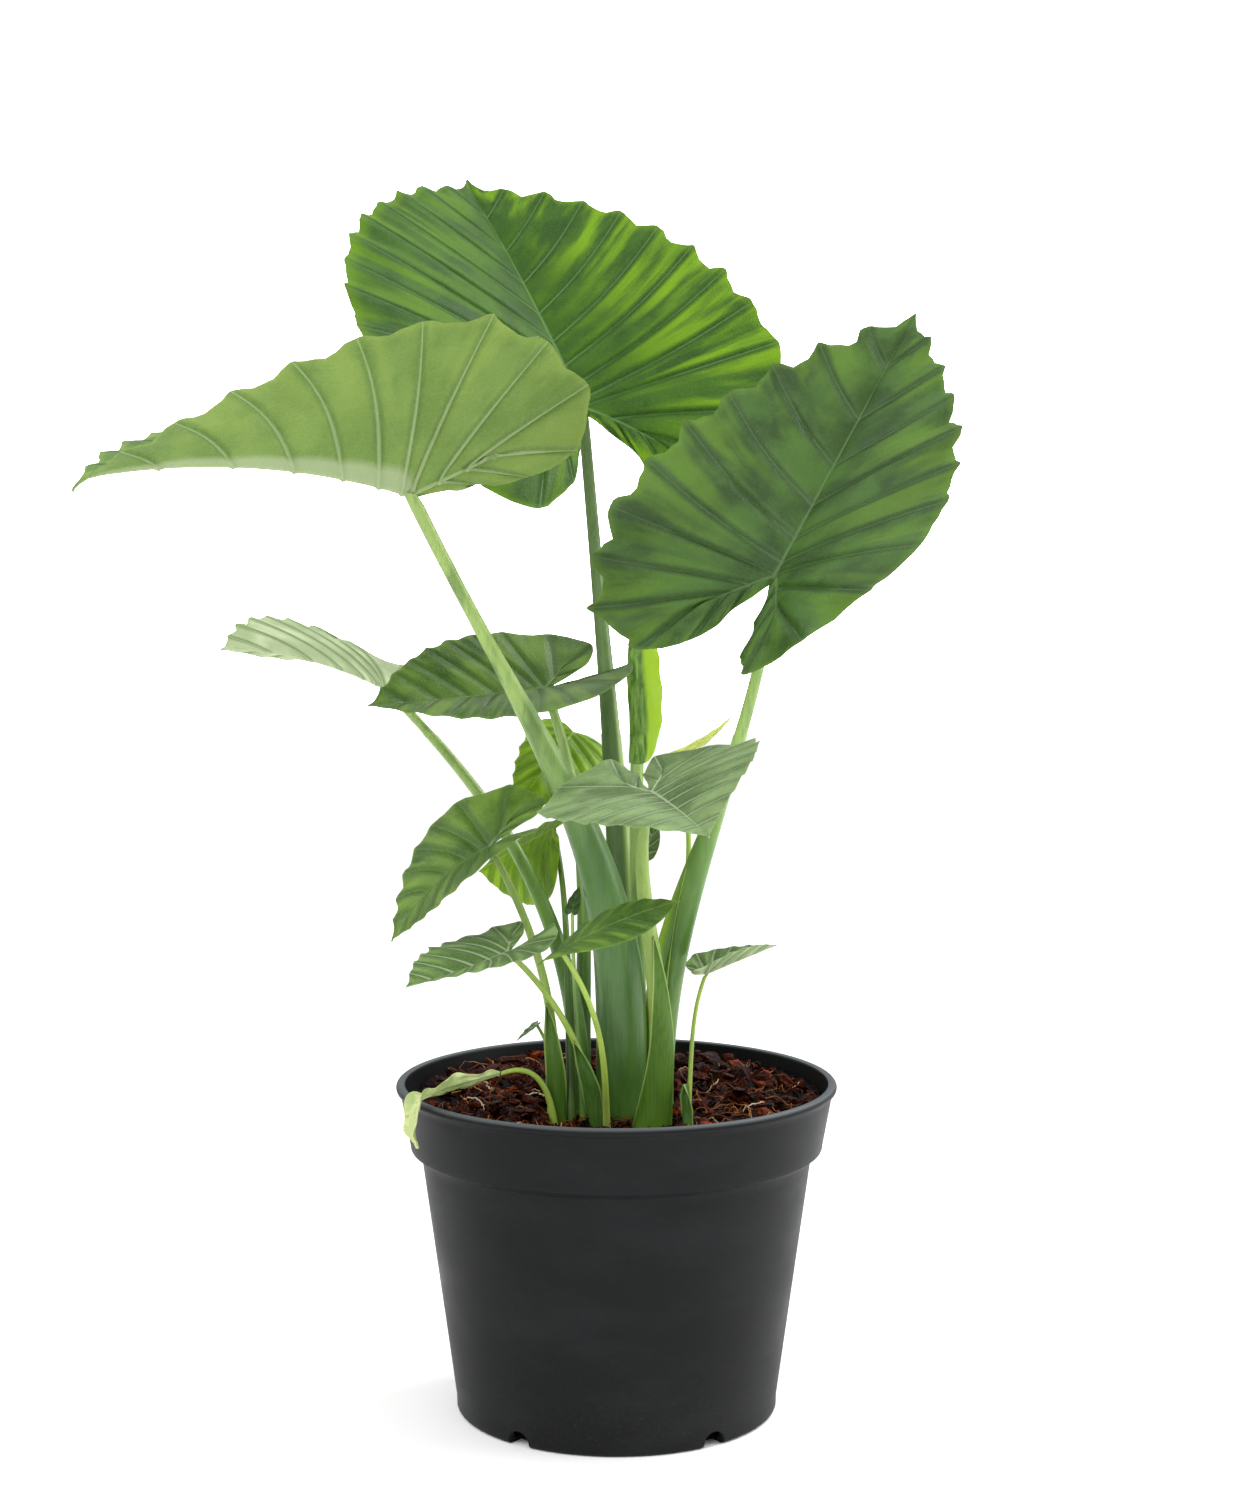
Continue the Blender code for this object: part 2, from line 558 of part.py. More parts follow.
def turned_body(profile, segments):
    """Return a closed turned body from a profile of radius and height that starts and ends on the axis."""
    body = bmesh.new()
    rings = []
    for radius, height in profile:
        if radius == 0.0:
            rings.append([body.verts.new((0.0, 0.0, height * MM))])
            continue
        turns = (2 * math.pi * k / segments for k in range(segments))
        rings.append([body.verts.new((radius * math.cos(a) * MM, radius * math.sin(a) * MM, height * MM))
                      for a in turns])
    for lower, upper in zip(rings, rings[1:]):
        for k in range(segments):
            following = (k + 1) % segments
            if len(lower) == 1:
                body.faces.new((lower[0], upper[following], upper[k]))
            elif len(upper) == 1:
                body.faces.new((lower[k], lower[following], upper[0]))
            else:
                body.faces.new((lower[k], lower[following], upper[following], upper[k]))
    bmesh.ops.recalc_face_normals(body, faces=body.faces)
    return body


def pot_inner_profile(gap=0.0):
    """Return radius and height down the inside of the pot, moved inward by a gap."""
    wall = POT_WALL + gap
    collar_foot = POT_HEIGHT - COLLAR_HEIGHT
    return [
        (COLLAR_TOP_RADIUS - 0.5 - wall, POT_HEIGHT),
        (COLLAR_FOOT_RADIUS - wall, collar_foot + 1.0),
        (BODY_TOP_RADIUS - wall, collar_foot - 5.0),
        (BODY_FOOT_RADIUS - wall, 10.0),
        (FOOT_RADIUS - wall, POT_WALL + gap + 1.4),
        (FOOT_RADIUS - wall - 4.0, POT_WALL + gap),
    ]


def add_pot(material):
    """Make the pot: a turned wall with a collar and a lip, and drain holes round its foot."""
    collar_foot = POT_HEIGHT - COLLAR_HEIGHT
    outer = [
        (0.0, 0.0), (FOOT_RADIUS, 0.0), (BODY_FOOT_RADIUS - 1.2, 1.6), (BODY_FOOT_RADIUS, 10.0),
        (BODY_TOP_RADIUS, collar_foot - 7.0), (BODY_TOP_RADIUS + 1.4, collar_foot - 3.2),
        (COLLAR_FOOT_RADIUS - 1.6, collar_foot - 1.4), (COLLAR_FOOT_RADIUS, collar_foot + 1.0),
        (COLLAR_TOP_RADIUS, POT_HEIGHT - 6.6), (LIP_RADIUS - 0.6, POT_HEIGHT - 5.6),
        (LIP_RADIUS, POT_HEIGHT - 3.2), (LIP_RADIUS - 0.8, POT_HEIGHT - 0.8),
        (LIP_RADIUS - 2.6, POT_HEIGHT),
    ]
    profile = outer + pot_inner_profile() + [(0.0, POT_WALL)]
    pot = add_object("pot", turned_body(profile, POT_SEGMENTS), material)
    for index, angle in enumerate(DRAIN_ANGLES):
        drill = bmesh.new()
        bmesh.ops.create_cone(drill, cap_ends=True, segments=16, radius1=DRAIN_RADIUS * MM,
                              radius2=DRAIN_RADIUS * MM, depth=24 * MM)
        cutter = add_object(f"drain_cutter_{index + 1}", drill, material)
        reach = BODY_FOOT_RADIUS - 2.0
        cutter.location = (reach * MM * math.cos(math.radians(angle)),
                           reach * MM * math.sin(math.radians(angle)), DRAIN_CENTRE_HEIGHT * MM)
        cutter.rotation_euler = (0.0, math.pi / 2, math.radians(angle))
        cut_away(pot, cutter)
    return pot


def cut_away(thing, cutter):
    """Cut a hidden body out of an object."""
    cutter.hide_render = True
    cutter.display_type = "WIRE"
    boolean = thing.modifiers.new(cutter.name, "BOOLEAN")
    boolean.operation = "DIFFERENCE"
    boolean.solver = "EXACT"
    boolean.object = cutter


def coir_height(x, y):
    """Return the height of the coir's uneven surface."""
    bumps = (math.sin(x / 9.0 + 1.3 * math.sin(y / 13.0)) * math.cos(y / 7.5 + x / 31.0)
             + 0.5 * math.sin(x / 4.7 - y / 6.1 + 0.7))
    return COIR_LEVEL + COIR_SLOPE * y + COIR_BUMP * bumps / 1.5


def add_coir(material, stalks):
    """Make the coir that fills the pot, with an uneven top and a plain hole for each stalk."""
    lower = [(0.0, POT_WALL + CLEARANCE)] + pot_inner_profile(CLEARANCE)[:2:-1]
    inside = pot_inner_profile(CLEARANCE)
    top_radius = np.interp(COIR_LEVEL, [inside[1][1], inside[0][1]], [inside[1][0], inside[0][0]])
    profile = lower + [inside[2], inside[1], (top_radius - 1.0, COIR_LEVEL - 5.0)]
    profile += [(radius, COIR_LEVEL) for radius in COIR_RING_RADII[::-1]] + [(0.0, COIR_LEVEL)]
    body = turned_body(profile, COIR_SECTORS)
    for vert in body.verts:
        if vert.co.z > (COIR_LEVEL - 0.5) * MM:
            vert.co.z = coir_height(vert.co.x / MM, vert.co.y / MM) * MM
    bmesh.ops.triangulate(body, faces=body.faces)
    coir = add_object("soil", body, material)
    for name, stalk in stalks.items():
        rings = stalk_rings(stalk, grow=CLEARANCE)
        count = 1 + next(k for k, ring in enumerate(rings) if ring[:, 2].min() > COIR_LEVEL + 4)
        cutter = add_loft(f"hole_cutter_{name}", rings[:count], material)
        cut_away(coir, cutter)
    corm_hole = add_object("hole_cutter_corm", corm_body(CLEARANCE), material)
    cut_away(coir, corm_hole)
    return coir


def corm_body(grow=0.0):
    """Return the corm as a turned, rounded body, grown by a clearance."""
    steps = [math.radians(a) for a in range(0, 91, 18)]
    lower = [(CORM_RADIUS * math.sin(a), CORM_TOP - CORM_HEIGHT * 0.25 - CORM_HEIGHT * 0.75 * math.cos(a))
             for a in steps]
    upper = [(CORM_RADIUS + 2.0, CORM_TOP - 6.0), (CORM_RADIUS, CORM_TOP), (0.0, CORM_TOP)]
    profile = lower + upper
    profile = [(r + grow if r > 0 else 0.0, z + (grow if z > CORM_TOP - 1 else -grow if r == 0 else 0.0))
               for r, z in profile]
    body = turned_body(profile, CORM_SEGMENTS)
    bmesh.ops.translate(body, verts=body.verts, vec=(CORM_CENTRE[0] * MM, CORM_CENTRE[1] * MM, 0.0))
    return body


def main():
    """Build every piece."""
    for thing in list(bpy.data.objects):
        bpy.data.objects.remove(thing, do_unlink=True)
    plastic = make_material("pot_plastic", "#26282a", 0.5)
    coir = make_material("coir", "#4a2212", 0.95)
    root_skin = make_material("corm_skin", "#8a6a44", 0.8)
    leaf_green = make_material("leaf_green", "#3f7d2c", 0.45)
    stalk_green = make_material("stalk_green", "#7fa84f", 0.4)
    new_green = make_material("new_leaf_green", "#8fc42c", 0.45)
    dry_green = make_material("withered_green", "#a9b878", 0.6)

    stalks = {name: stalk for name, (stalk, blade) in LEAVES.items()}
    stalks["furled"] = FURLED_STALK
    stalks["withered"] = WITHERED_STALK
    add_pot(plastic)
    add_coir(coir, stalks)
    add_object("corm", corm_body(), root_skin)
    for name, (stalk, blade) in LEAVES.items():
        add_leaf_stalk(f"stalk_{name}", stalk, blade, stalk_green)
        add_blade(f"blade_{name}", blade, stalk.neck, leaf_green)
    add_loft("stalk_furled", stalk_rings(FURLED_STALK), stalk_green)
    add_furled_blade(new_green)
    add_loft("stalk_withered", stalk_rings(WITHERED_STALK, (-1.0, 0.0, 0.0)), dry_green)
    add_withered_blade(dry_green)


main()
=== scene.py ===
"""Looks of a giant taro in its black nursery pot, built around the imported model.

Sizes are in millimetres in the classes below and turned to metres where a mesh is made. The
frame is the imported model's: the origin is the centre of the pot's underside, +Z is up and the
front of the plant is -Y.
"""

import logging
import math
from collections.abc import Callable
from dataclasses import dataclass, replace
from enum import Enum
from functools import partial

import bmesh
import bpy
import numpy as np
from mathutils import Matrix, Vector, noise


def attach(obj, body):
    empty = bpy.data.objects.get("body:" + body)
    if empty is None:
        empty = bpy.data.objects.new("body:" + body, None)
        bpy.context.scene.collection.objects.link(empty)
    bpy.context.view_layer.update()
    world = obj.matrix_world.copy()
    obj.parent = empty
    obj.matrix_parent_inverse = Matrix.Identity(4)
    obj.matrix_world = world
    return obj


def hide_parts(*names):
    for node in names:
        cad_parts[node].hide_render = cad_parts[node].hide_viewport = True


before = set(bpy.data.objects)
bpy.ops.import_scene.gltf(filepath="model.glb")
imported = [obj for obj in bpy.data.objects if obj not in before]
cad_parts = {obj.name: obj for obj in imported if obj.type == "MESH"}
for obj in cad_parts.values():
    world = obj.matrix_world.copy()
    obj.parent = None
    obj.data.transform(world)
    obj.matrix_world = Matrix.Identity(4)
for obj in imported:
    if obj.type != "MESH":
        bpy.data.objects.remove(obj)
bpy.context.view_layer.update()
LOG = logging.getLogger("taro")
# A millimetre in metres
MM = 0.001
# Millimetres between a stalk's top and its blade
CLEARANCE = 0.3
# The body that every piece rides on
BODY = "root"
# Edges of a thin sheet that turn more than this many degrees stay sharp
SHEET_SHARP = 75.0
# How weakly and how strongly a seeded draw may wave the margin at one side vein
EDGE_DRAW = (0.4, 1.4)
# The last share of a blade's length, which is its drawn-out tip
TIP_FROM, TIP_SHARE = 0.94, 0.06
# A line that bends less than this is taken as straight
STRAIGHT = 1e-5
# Points along a stalk's centre line, and between each two of its radii
STALK_POINTS, RADIUS_STEPS = 200, 12

# One half of a blade whose length from stalk to tip is 1: across, forward
HALF_OUTLINE = (
    (0.0, -0.03), (0.055, -0.14), (0.115, -0.28), (0.235, -0.385), (0.375, -0.34), (0.46, -0.17),
    (0.50, 0.05), (0.465, 0.30), (0.36, 0.56), (0.205, 0.78), (0.085, 0.905), (0.022, 0.962),
    (0.0, 1.0),
)
# The numbers of its points at the lobe's apex and at the widest place
LOBE_APEX = 3
WIDEST = 6
LOBE_DEPTH = 0.385
LOBE_RIB_END = (0.15, -0.165)
# How far a side vein bows, as a share of its length
VEIN_BOW = 0.05
# Points of the smooth outline between each two of these
OUTLINE_STEPS = 12

# Rows of a fine blade between one side vein and the next, close together beside the vein
FINE_ROWS = (0.0, 0.035, 0.09, 0.18, 0.33, 0.5, 0.67, 0.82, 0.91, 0.965)
PLAIN_ROWS = (0.0, 0.06, 0.2, 0.5, 0.8, 0.94)


class Half(Enum):
    """The two halves of a blade, seen from above with the tip ahead."""

    LEFT = -1
    RIGHT = 1


class Face(Enum):
    """The two faces of a blade."""

    UPPER = "upper"
    UNDER = "under"


@dataclass(frozen=True)
class Kind:
    """One kind of shader node: its type, the inputs it takes in order, its output and settings."""

    node: str
    inputs: tuple = ()
    output: int | str = 0
    settings: tuple = ()


class Node(Enum):
    """The kinds of shader node that the finishes use."""

    NUMBER = Kind("ShaderNodeAttribute", (), "Fac")
    PAIR = Kind("ShaderNodeAttribute", (), "Vector")
    PLACE = Kind("ShaderNodeTexCoord", (), "Object")
    STRETCH = Kind("ShaderNodeMapping", ("Vector", "Scale"))
    HEIGHT = Kind("ShaderNodeSeparateXYZ", (0,), "Z")
    CLOUDS = Kind("ShaderNodeTexNoise", ("Vector", "Scale", "Detail", "Roughness"))
    MESHES = Kind("ShaderNodeTexVoronoi", ("Vector", "Scale"), "Distance",
                  (("feature", "DISTANCE_TO_EDGE"),))
    STEP = Kind("ShaderNodeMapRange", (0, 1, 2, 3, 4), 0, (("interpolation_type", "SMOOTHSTEP"),))
    TIMES = Kind("ShaderNodeMath", (0, 1), 0, (("operation", "MULTIPLY"),))
    PLUS = Kind("ShaderNodeMath", (0, 1), 0, (("operation", "ADD"),))
    OVER = Kind("ShaderNodeMath", (0, 1), 0, (("operation", "DIVIDE"),))
    BLEND = Kind("ShaderNodeMix", (0, 6, 7), 2, (("data_type", "RGBA"),))
    RELIEF = Kind("ShaderNodeBump", ("Height", "Distance"))
    THROUGH = Kind("ShaderNodeBsdfTranslucent", ("Color",))
    BOTH = Kind("ShaderNodeMixShader", (0, 1, 2))
    WAY = Kind("ShaderNodeTexCoord", (), "Generated")
    SEEN = Kind("ShaderNodeLightPath", (), "Is Camera Ray")


def linear(hex_colour: str) -> tuple[float, float, float, float]:
    """Turn an sRGB hex colour to linear light.

    Args:
        hex_colour: the colour as #rrggbb.

    Returns:
        Red, green, blue and an alpha of 1.
    """
    channels = [int(hex_colour[i:i + 2], 16) / 255.0 for i in (1, 3, 5)]
    red, green, blue = (c / 12.92 if c <= 0.04045 else ((c + 0.055) / 1.055) ** 2.4
                        for c in channels)
    return red, green, blue, 1.0


def add(tree: bpy.types.NodeTree, node: Node, *values: object,
        **settings: object) -> bpy.types.NodeSocket:
    """Add a node with its settings and links.

    Args:
        tree: the material's node tree.
        node: the kind of node.
        values: for each of its inputs in order a socket, a number, a vector or a hex colour.
        settings: further settings of the node.

    Returns:
        The socket of the output that this kind gives.
    """
    kind = node.value
    made = tree.nodes.new(kind.node)
    for name, value in (*kind.settings, *settings.items()):
        setattr(made, name, value)
    for key, value in zip(kind.inputs, values):
        if isinstance(value, bpy.types.NodeSocket):
            tree.links.new(value, made.inputs[key])
        else:
            made.inputs[key].default_value = linear(value) if isinstance(value, str) else value
    return made.outputs[kind.output]


# What a finish is handed: add() for its own node tree
Put = Callable[..., bpy.types.NodeSocket]


def layered(put: Put, colour: bpy.types.NodeSocket | str, *layers: tuple) -> bpy.types.NodeSocket:
    """Lay colours over a first one, each of them as strong as a number of its own says.

    Args:
        put: adds a node.
        colour: the first colour.
        layers: for each its number, the start and end of a range of that number, how much of
            the layer shows at the start and at the end, and the layer's colour.

    Returns:
        The colour with all layers on it.
    """
    for number, start, end, before, after, over in layers:
        colour = put(Node.BLEND, put(Node.STEP, number, start, end, before, after), colour, over)
    return colour


@dataclass
class Surface:
    """What a finish asks of its material: nodes for the look, and plain numbers for the gloss."""

    colour: bpy.types.NodeSocket
    roughness: bpy.types.NodeSocket
    height: bpy.types.NodeSocket
    depth_mm: float
    specular: float = 0.5
    coat: float = 0.0
    coat_roughness: float = 0.3
    through: bpy.types.NodeSocket | None = None
    through_share: float = 0.0


@dataclass(frozen=True)
class Finish:
    """A finish that is made once and then shared by every piece that has it."""

    name: str

    def label(self) -> str:
        """Return the name of the material."""
        return self.name

    def surface(self, put: Put) -> Surface:
        """Return what the finish looks like."""
        raise NotImplementedError

    def dress(self) -> bpy.types.Material:
        """Return the material, made at its first use."""
        known = bpy.data.materials.get(self.label())
        if known:
            return known
        material = bpy.data.materials.new(self.label())
        material.use_nodes = True
        tree = material.node_tree
        put = partial(add, tree)
        look = self.surface(put)
        shader = tree.nodes["Principled BSDF"]
        relief = put(Node.RELIEF, look.height, look.depth_mm * MM)
        for name, socket in (("Base Color", look.colour), ("Roughness", look.roughness),
                             ("Normal", relief)):
            tree.links.new(socket, shader.inputs[name])
        for name, value in (("Specular IOR Level", look.specular), ("Coat Weight", look.coat),
                            ("Coat Roughness", look.coat_roughness)):
            shader.inputs[name].default_value = value
        if look.through:
            glow = put(Node.THROUGH, look.through)
            both = put(Node.BOTH, look.through_share, shader.outputs[0], glow)
            tree.links.new(both, tree.nodes["Material Output"].inputs["Surface"])
        return material


@dataclass(frozen=True)
class LeafSkin(Finish):
    """Living taro leaf: soft green flesh under a waxy skin, which gives a broad soft gloss.

    Yellower streaks run along the side veins and half way between them: painted light, for the
    light that comes through the thin flesh there. The side veins are paler lines, with painted
    shade in the creases close beside them.
    """

    deep: str
    mid: str
    glow: str
    vein: str
    under: str
    under_deep: str
    under_vein: str
    through: str
    through_share: float = 0.35
    glow_share: float = 0.6
    vein_share: float = 0.5
    roughness: float = 0.45
    # How strongly shade is painted in the creases beside the side veins: upper face, then underside
    groove: float = 0.45
    under_groove: float = 0.25
    shine: float = 0.3
    # Colour of the pale band of painted shade beside the underside's midrib, where the far half
    # blocks the light from behind
    shaded_band: str = "#c3d0a8"
    face: Face = Face.UPPER

    def label(self) -> str:
        """Return the name of the material."""
        return f"{self.name}_{self.face.value}"

    def faces(self) -> list[bpy.types.Material]:
        """Return the materials of the upper face and the underside."""
        return [replace(self, face=face).dress() for face in Face]

    def surface(self, put: Put) -> Surface:
        """Return what the finish looks like."""
        upper = self.face is Face.UPPER
        deep, mid, vein = ((self.deep, self.mid, self.vein) if upper
                           else (self.under_deep, self.under, self.under_vein))
        flat, run = (put(Node.PAIR, attribute_name=name) for name in ("flat_mm", "run"))
        from_vein, from_rib, rib_size, share, sunlit = (
            put(Node.NUMBER, attribute_name=name)
            for name in ("from_vein_mm", "from_rib_mm", "rib_size", "share", "sunlit"))

        # Clouds of tone about 35 mm across, and streaks that follow the side veins
        clouds = put(Node.CLOUDS, flat, 1 / 35, 3.0, 0.55)
        streaks = put(Node.CLOUDS, put(Node.STRETCH, run, (1.8, 1.0, 1.0)), 1.0, 3.0, 0.58)
        calm = 0.0 if upper else 0.55
        flesh = layered(put, deep, (clouds, 0.36, 0.64, calm, 1.0, mid))
        # Painted light: yellower streaks away from the side veins and towards the margin, where
        # light comes through the thin flesh, as strong as the half's sunlit number says
        middle = put(Node.STEP, from_vein, 0.8, 6.5, 0.0, 1.0)
        outward = put(Node.STEP, share, 0.1, 0.75, 0.15, 1.0)
        thin = put(Node.TIMES, put(Node.TIMES, middle, outward),
                   put(Node.STEP, streaks, 0.40, 0.64, 0.0, 1.0))
        glow_share = put(Node.TIMES, sunlit, self.glow_share * (1.0 if upper else 0.75))
        flesh = put(Node.BLEND, put(Node.TIMES, thin, glow_share), flesh, self.glow)
        # Painted shade in the creases close beside each side vein, and the margin painted lighter
        # in the glow colour, for light that comes through the thin edge
        groove = self.groove if upper else self.under_groove
        flesh = layered(put, flesh, (from_vein, 0.8, 5.5, groove, 0.0, deep),
                        (share, 0.93, 1.0, 0.0, 0.35, self.glow))
        # Painted shade on the underside: a pale band beside the midrib where the far half blocks
        # the light from behind
        if not upper:
            shaded_band = put(Node.NUMBER, attribute_name="shaded_band")
            flesh = put(Node.BLEND, put(Node.TIMES, shaded_band, 0.65), flesh, self.shaded_band)

        # The net of veinlets has meshes of about 3 mm, and the skin's cells show at 0.7 mm
        net = put(Node.MESHES, flat, 1 / 3.2)
        net_line = put(Node.STEP, net, 0.0, 0.16, 1.0, 0.0)
        flesh = put(Node.BLEND, put(Node.TIMES, net_line, 0.1), flesh, vein)
        width = put(Node.STEP, share, 0.0, 1.0, 0.95, 0.38)
        side_line = put(Node.STEP, put(Node.OVER, from_vein, width), 0.5, 1.7, 1.0, 0.0)
        flesh = put(Node.BLEND, put(Node.TIMES, side_line, self.vein_share), flesh, vein)
        rib_line = put(Node.STEP, put(Node.OVER, from_rib, rib_size), 0.8, 2.2, 1.0, 0.0)
        flesh = put(Node.BLEND, put(Node.TIMES, rib_line, 0.75), flesh, vein)

        cells = put(Node.CLOUDS, flat, 1 / 0.7, 2.0, 0.5)
        height = put(Node.PLUS, put(Node.TIMES, cells, 0.1),
                     put(Node.TIMES, net_line, -0.25 if upper else 0.35))
        height = put(Node.PLUS, height, put(Node.TIMES, streaks, 0.9))
        # The flesh swells up between the side veins, which stand out on the underside
        swell = put(Node.STEP, from_vein, 0.2, 6.0, 0.0, 2.6 if upper else -1.8)
        height = put(Node.PLUS, height, swell)
        low = self.roughness if upper else self.roughness + 0.1
        gloss = put(Node.STEP, streaks, 0.25, 0.75, low - 0.05, low + 0.1)
        lit = put(Node.BLEND, put(Node.TIMES, side_line, 0.5), self.through, self.deep)
        lit = put(Node.BLEND, 0.4, lit, flesh)
        return Surface(flesh, gloss, height, 0.4, specular=self.shine,
                       through=lit, through_share=self.through_share)


FRESH = LeafSkin("fresh_leaf", "#234508", "#3a5f08", "#84ae00", "#6f9656", "#7c9c3c", "#62842c",
                 "#a9bd80", "#8cc00a", 0.36, 0.9, 0.6, roughness=0.5, groove=0.6, shine=0.22)
OLIVE = LeafSkin("olive_leaf", "#3a5f18", "#547d24", "#a4ba58", "#98b276", "#84a250", "#587c32",
                 "#b9ca96", "#92b43e", 0.3, 0.5, 0.6, groove=0.9, under_groove=0.45, shine=0.4)
DARK = LeafSkin("dark_leaf", "#2b4819", "#446826", "#6a9024", "#5f7a4a", "#6e874c", "#56733e",
                "#9cb082", "#6c9a1c", 0.24, 0.5, 0.45, groove=0.7)
MEADOW = LeafSkin("meadow_leaf", "#3c5e20", "#66882f", "#8aaa48", "#93ad70", "#84a054", "#6a8840",
                  "#b3c498", "#90b83a", 0.3, 0.6, 0.2, groove=0.6)
SOFT = LeafSkin("soft_leaf", "#526b3c", "#86a06a", "#98b072", "#bccea8", "#8ca468", "#6e8a54",
                "#bccaa6", "#8cac44", 0.26, 0.4, 0.6, groove=0.65)
STRIPED = LeafSkin("striped_leaf", "#4c6c34", "#7c9a58", "#a4bc80", "#c2d0ac", "#dce8c0", "#6a8a44",
                   "#d0dcb8", "#b4d070", 0.3, 0.5, 0.7, groove=0.95, under_groove=0.9)
GLOSSY = replace(MEADOW, name="glossy_leaf", roughness=0.36, shine=0.55)
BACKLIT = LeafSkin("backlit_leaf", "#5a7e14", "#86aa1e", "#b8d634", "#b4d060", "#92b428", "#6c901a",
                   "#b8cc68", "#b8d818", 0.48, 0.8, 0.45)
PALE = LeafSkin("pale_leaf", "#a8b83c", "#cdd86a", "#e4e890", "#dfe6a8", "#d2dc7c", "#b9c858",
                "#e8eec0", "#eef27a", 0.45, 0.7, 0.4)


@dataclass(frozen=True)
class StalkSkin(Finish):
    """Taro leaf stalk: juicy tissue under a smooth waxy skin with fine lengthwise lines.

    It is paler at the foot, and its gloss runs in long soft bands. The thin wing of its sheath
    is lighter, because light comes through it.
    """

    foot: str
    mid: str
    neck: str
    shade: str
    wing: str = "#a3bf55"
    roughness: float = 0.34
    neck_from: float = 0.45

    def surface(self, put: Put) -> Surface:
        """Return what the finish looks like."""
        place = put(Node.PLACE)
        along = put(Node.NUMBER, attribute_name="along")
        wing = put(Node.NUMBER, attribute_name="wing")
        # Lines about 1.2 mm apart that run some 40 mm up the stalk
        lines = put(Node.CLOUDS, put(Node.STRETCH, place, (800.0, 800.0, 22.0)), 1.0, 2.0, 0.5)
        clouds = put(Node.CLOUDS, put(Node.STRETCH, place, (70.0, 70.0, 14.0)), 1.0, 3.0, 0.5)
        flesh = layered(put, self.foot, (along, 0.05, 0.3, 0.0, 1.0, self.mid),
                        (along, self.neck_from, self.neck_from + 0.35, 0.0, 1.0, self.neck),
                        (clouds, 0.42, 0.7, 0.0, 0.6, self.shade),
                        (lines, 0.5, 0.72, 0.0, 0.3, self.shade),
                        (wing, 0.3, 0.9, 0.0, 0.9, self.wing))
        gloss = put(Node.STEP, lines, 0.2, 0.8, self.roughness - 0.05, self.roughness + 0.1)
        lit = put(Node.BLEND, 0.5, flesh, self.wing)
        return Surface(flesh, gloss, lines, 0.25, specular=0.4, coat=0.15, coat_roughness=0.2,
                       through=lit, through_share=0.1)


PALE_STALK = StalkSkin("pale_stalk", "#8aa850", "#94b04e", "#90ac50", "#64863a")
GREEN_STALK = StalkSkin("green_stalk", "#6e923e", "#6a9240", "#98b664", "#466c2c", wing="#aed03c")
# The darker middle of this stalk is partly its own colour and partly painted shade
BROAD_STALK = StalkSkin("broad_stalk", "#5c8438", "#507638", "#9cb864", "#385c28", neck_from=0.42)
DARK_STALK = StalkSkin("dark_stalk", "#5c7c38", "#4a6a2c", "#608434", "#334f22")
GREY_STALK = StalkSkin("grey_stalk", "#66844a", "#5c7844", "#6c8850", "#3c5434", wing="#a6bf70")
LIME_STALK = StalkSkin("lime_stalk", "#a8ba62", "#a0b850", "#9cb84a", "#789436")


@dataclass(frozen=True)
class SheathSkin(Finish):
    """Leaf sheath: a thin, smooth wrap that is paler and slightly see-through at its edges."""

    body: str
    edge: str
    shade: str

    def surface(self, put: Put) -> Surface:
        """Return what the finish looks like."""
        place = put(Node.PLACE)
        rim = put(Node.NUMBER, attribute_name="share")
        lines = put(Node.CLOUDS, put(Node.STRETCH, place, (700.0, 700.0, 18.0)), 1.0, 2.0, 0.5)
        flesh = layered(put, self.body, (lines, 0.35, 0.7, 0.0, 0.55, self.shade),
                        (rim, 0.86, 1.0, 0.0, 1.0, self.edge))
        gloss = put(Node.STEP, lines, 0.2, 0.8, 0.33, 0.46)
        return Surface(flesh, gloss, lines, 0.3, specular=0.3, through=flesh, through_share=0.22)


GREEN_SHEATH = SheathSkin("green_sheath", "#587e26", "#a8c46c", "#42681c")
DEEP_SHEATH = SheathSkin("deep_sheath", "#4f7430", "#98b864", "#385a22")


@dataclass(frozen=True)
class BlackPlastic(Finish):
    """Recycled black polypropylene, injection moulded: satin, with a fine moulded grain.

    Handling leaves faint rubbed patches, and a little dust settles low down.
    """

    name: str = "black_polypropylene"
    body: str = "#121314"
    rubbed: str = "#1d1e1f"
    lip_highlight: str = "#5c6165"
    dust: str = "#4a4642"

    def surface(self, put: Put) -> Surface:
        """Return what the finish looks like."""
        place = put(Node.PLACE)
        grain = put(Node.CLOUDS, place, 1400.0, 2.0, 0.5)
        patches = put(Node.CLOUDS, put(Node.STRETCH, place, (9.0, 9.0, 22.0)), 1.0, 4.0, 0.6)
        specks = put(Node.CLOUDS, place, 420.0, 3.0, 0.7)
        flow = put(Node.CLOUDS, put(Node.STRETCH, place, (60.0, 60.0, 3.0)), 1.0, 3.0, 0.5)
        colour = layered(put, self.body, (patches, 0.4, 0.72, 0.0, 0.75, self.rubbed))
        low = put(Node.TIMES,
                  put(Node.STEP, put(Node.HEIGHT, place), 0.0, 0.09, 0.12, 0.0),
                  put(Node.STEP, specks, 0.52, 0.72, 0.0, 1.0))
        colour = put(Node.BLEND, low, colour, self.dust)
        # The beaded lip is rubbed pale where pots are stacked and carried
        # Painted highlight: a pale line along the top of the beaded lip
        colour = layered(put, colour,
                         (put(Node.HEIGHT, place), 0.2232, 0.2257, 0.0, 0.75, self.lip_highlight))
        height = put(Node.PLUS, grain, put(Node.TIMES, flow, 1.5))
        gloss = put(Node.STEP, patches, 0.3, 0.7, 0.42, 0.52)
        return Surface(colour, gloss, height, 0.08, specular=0.11)


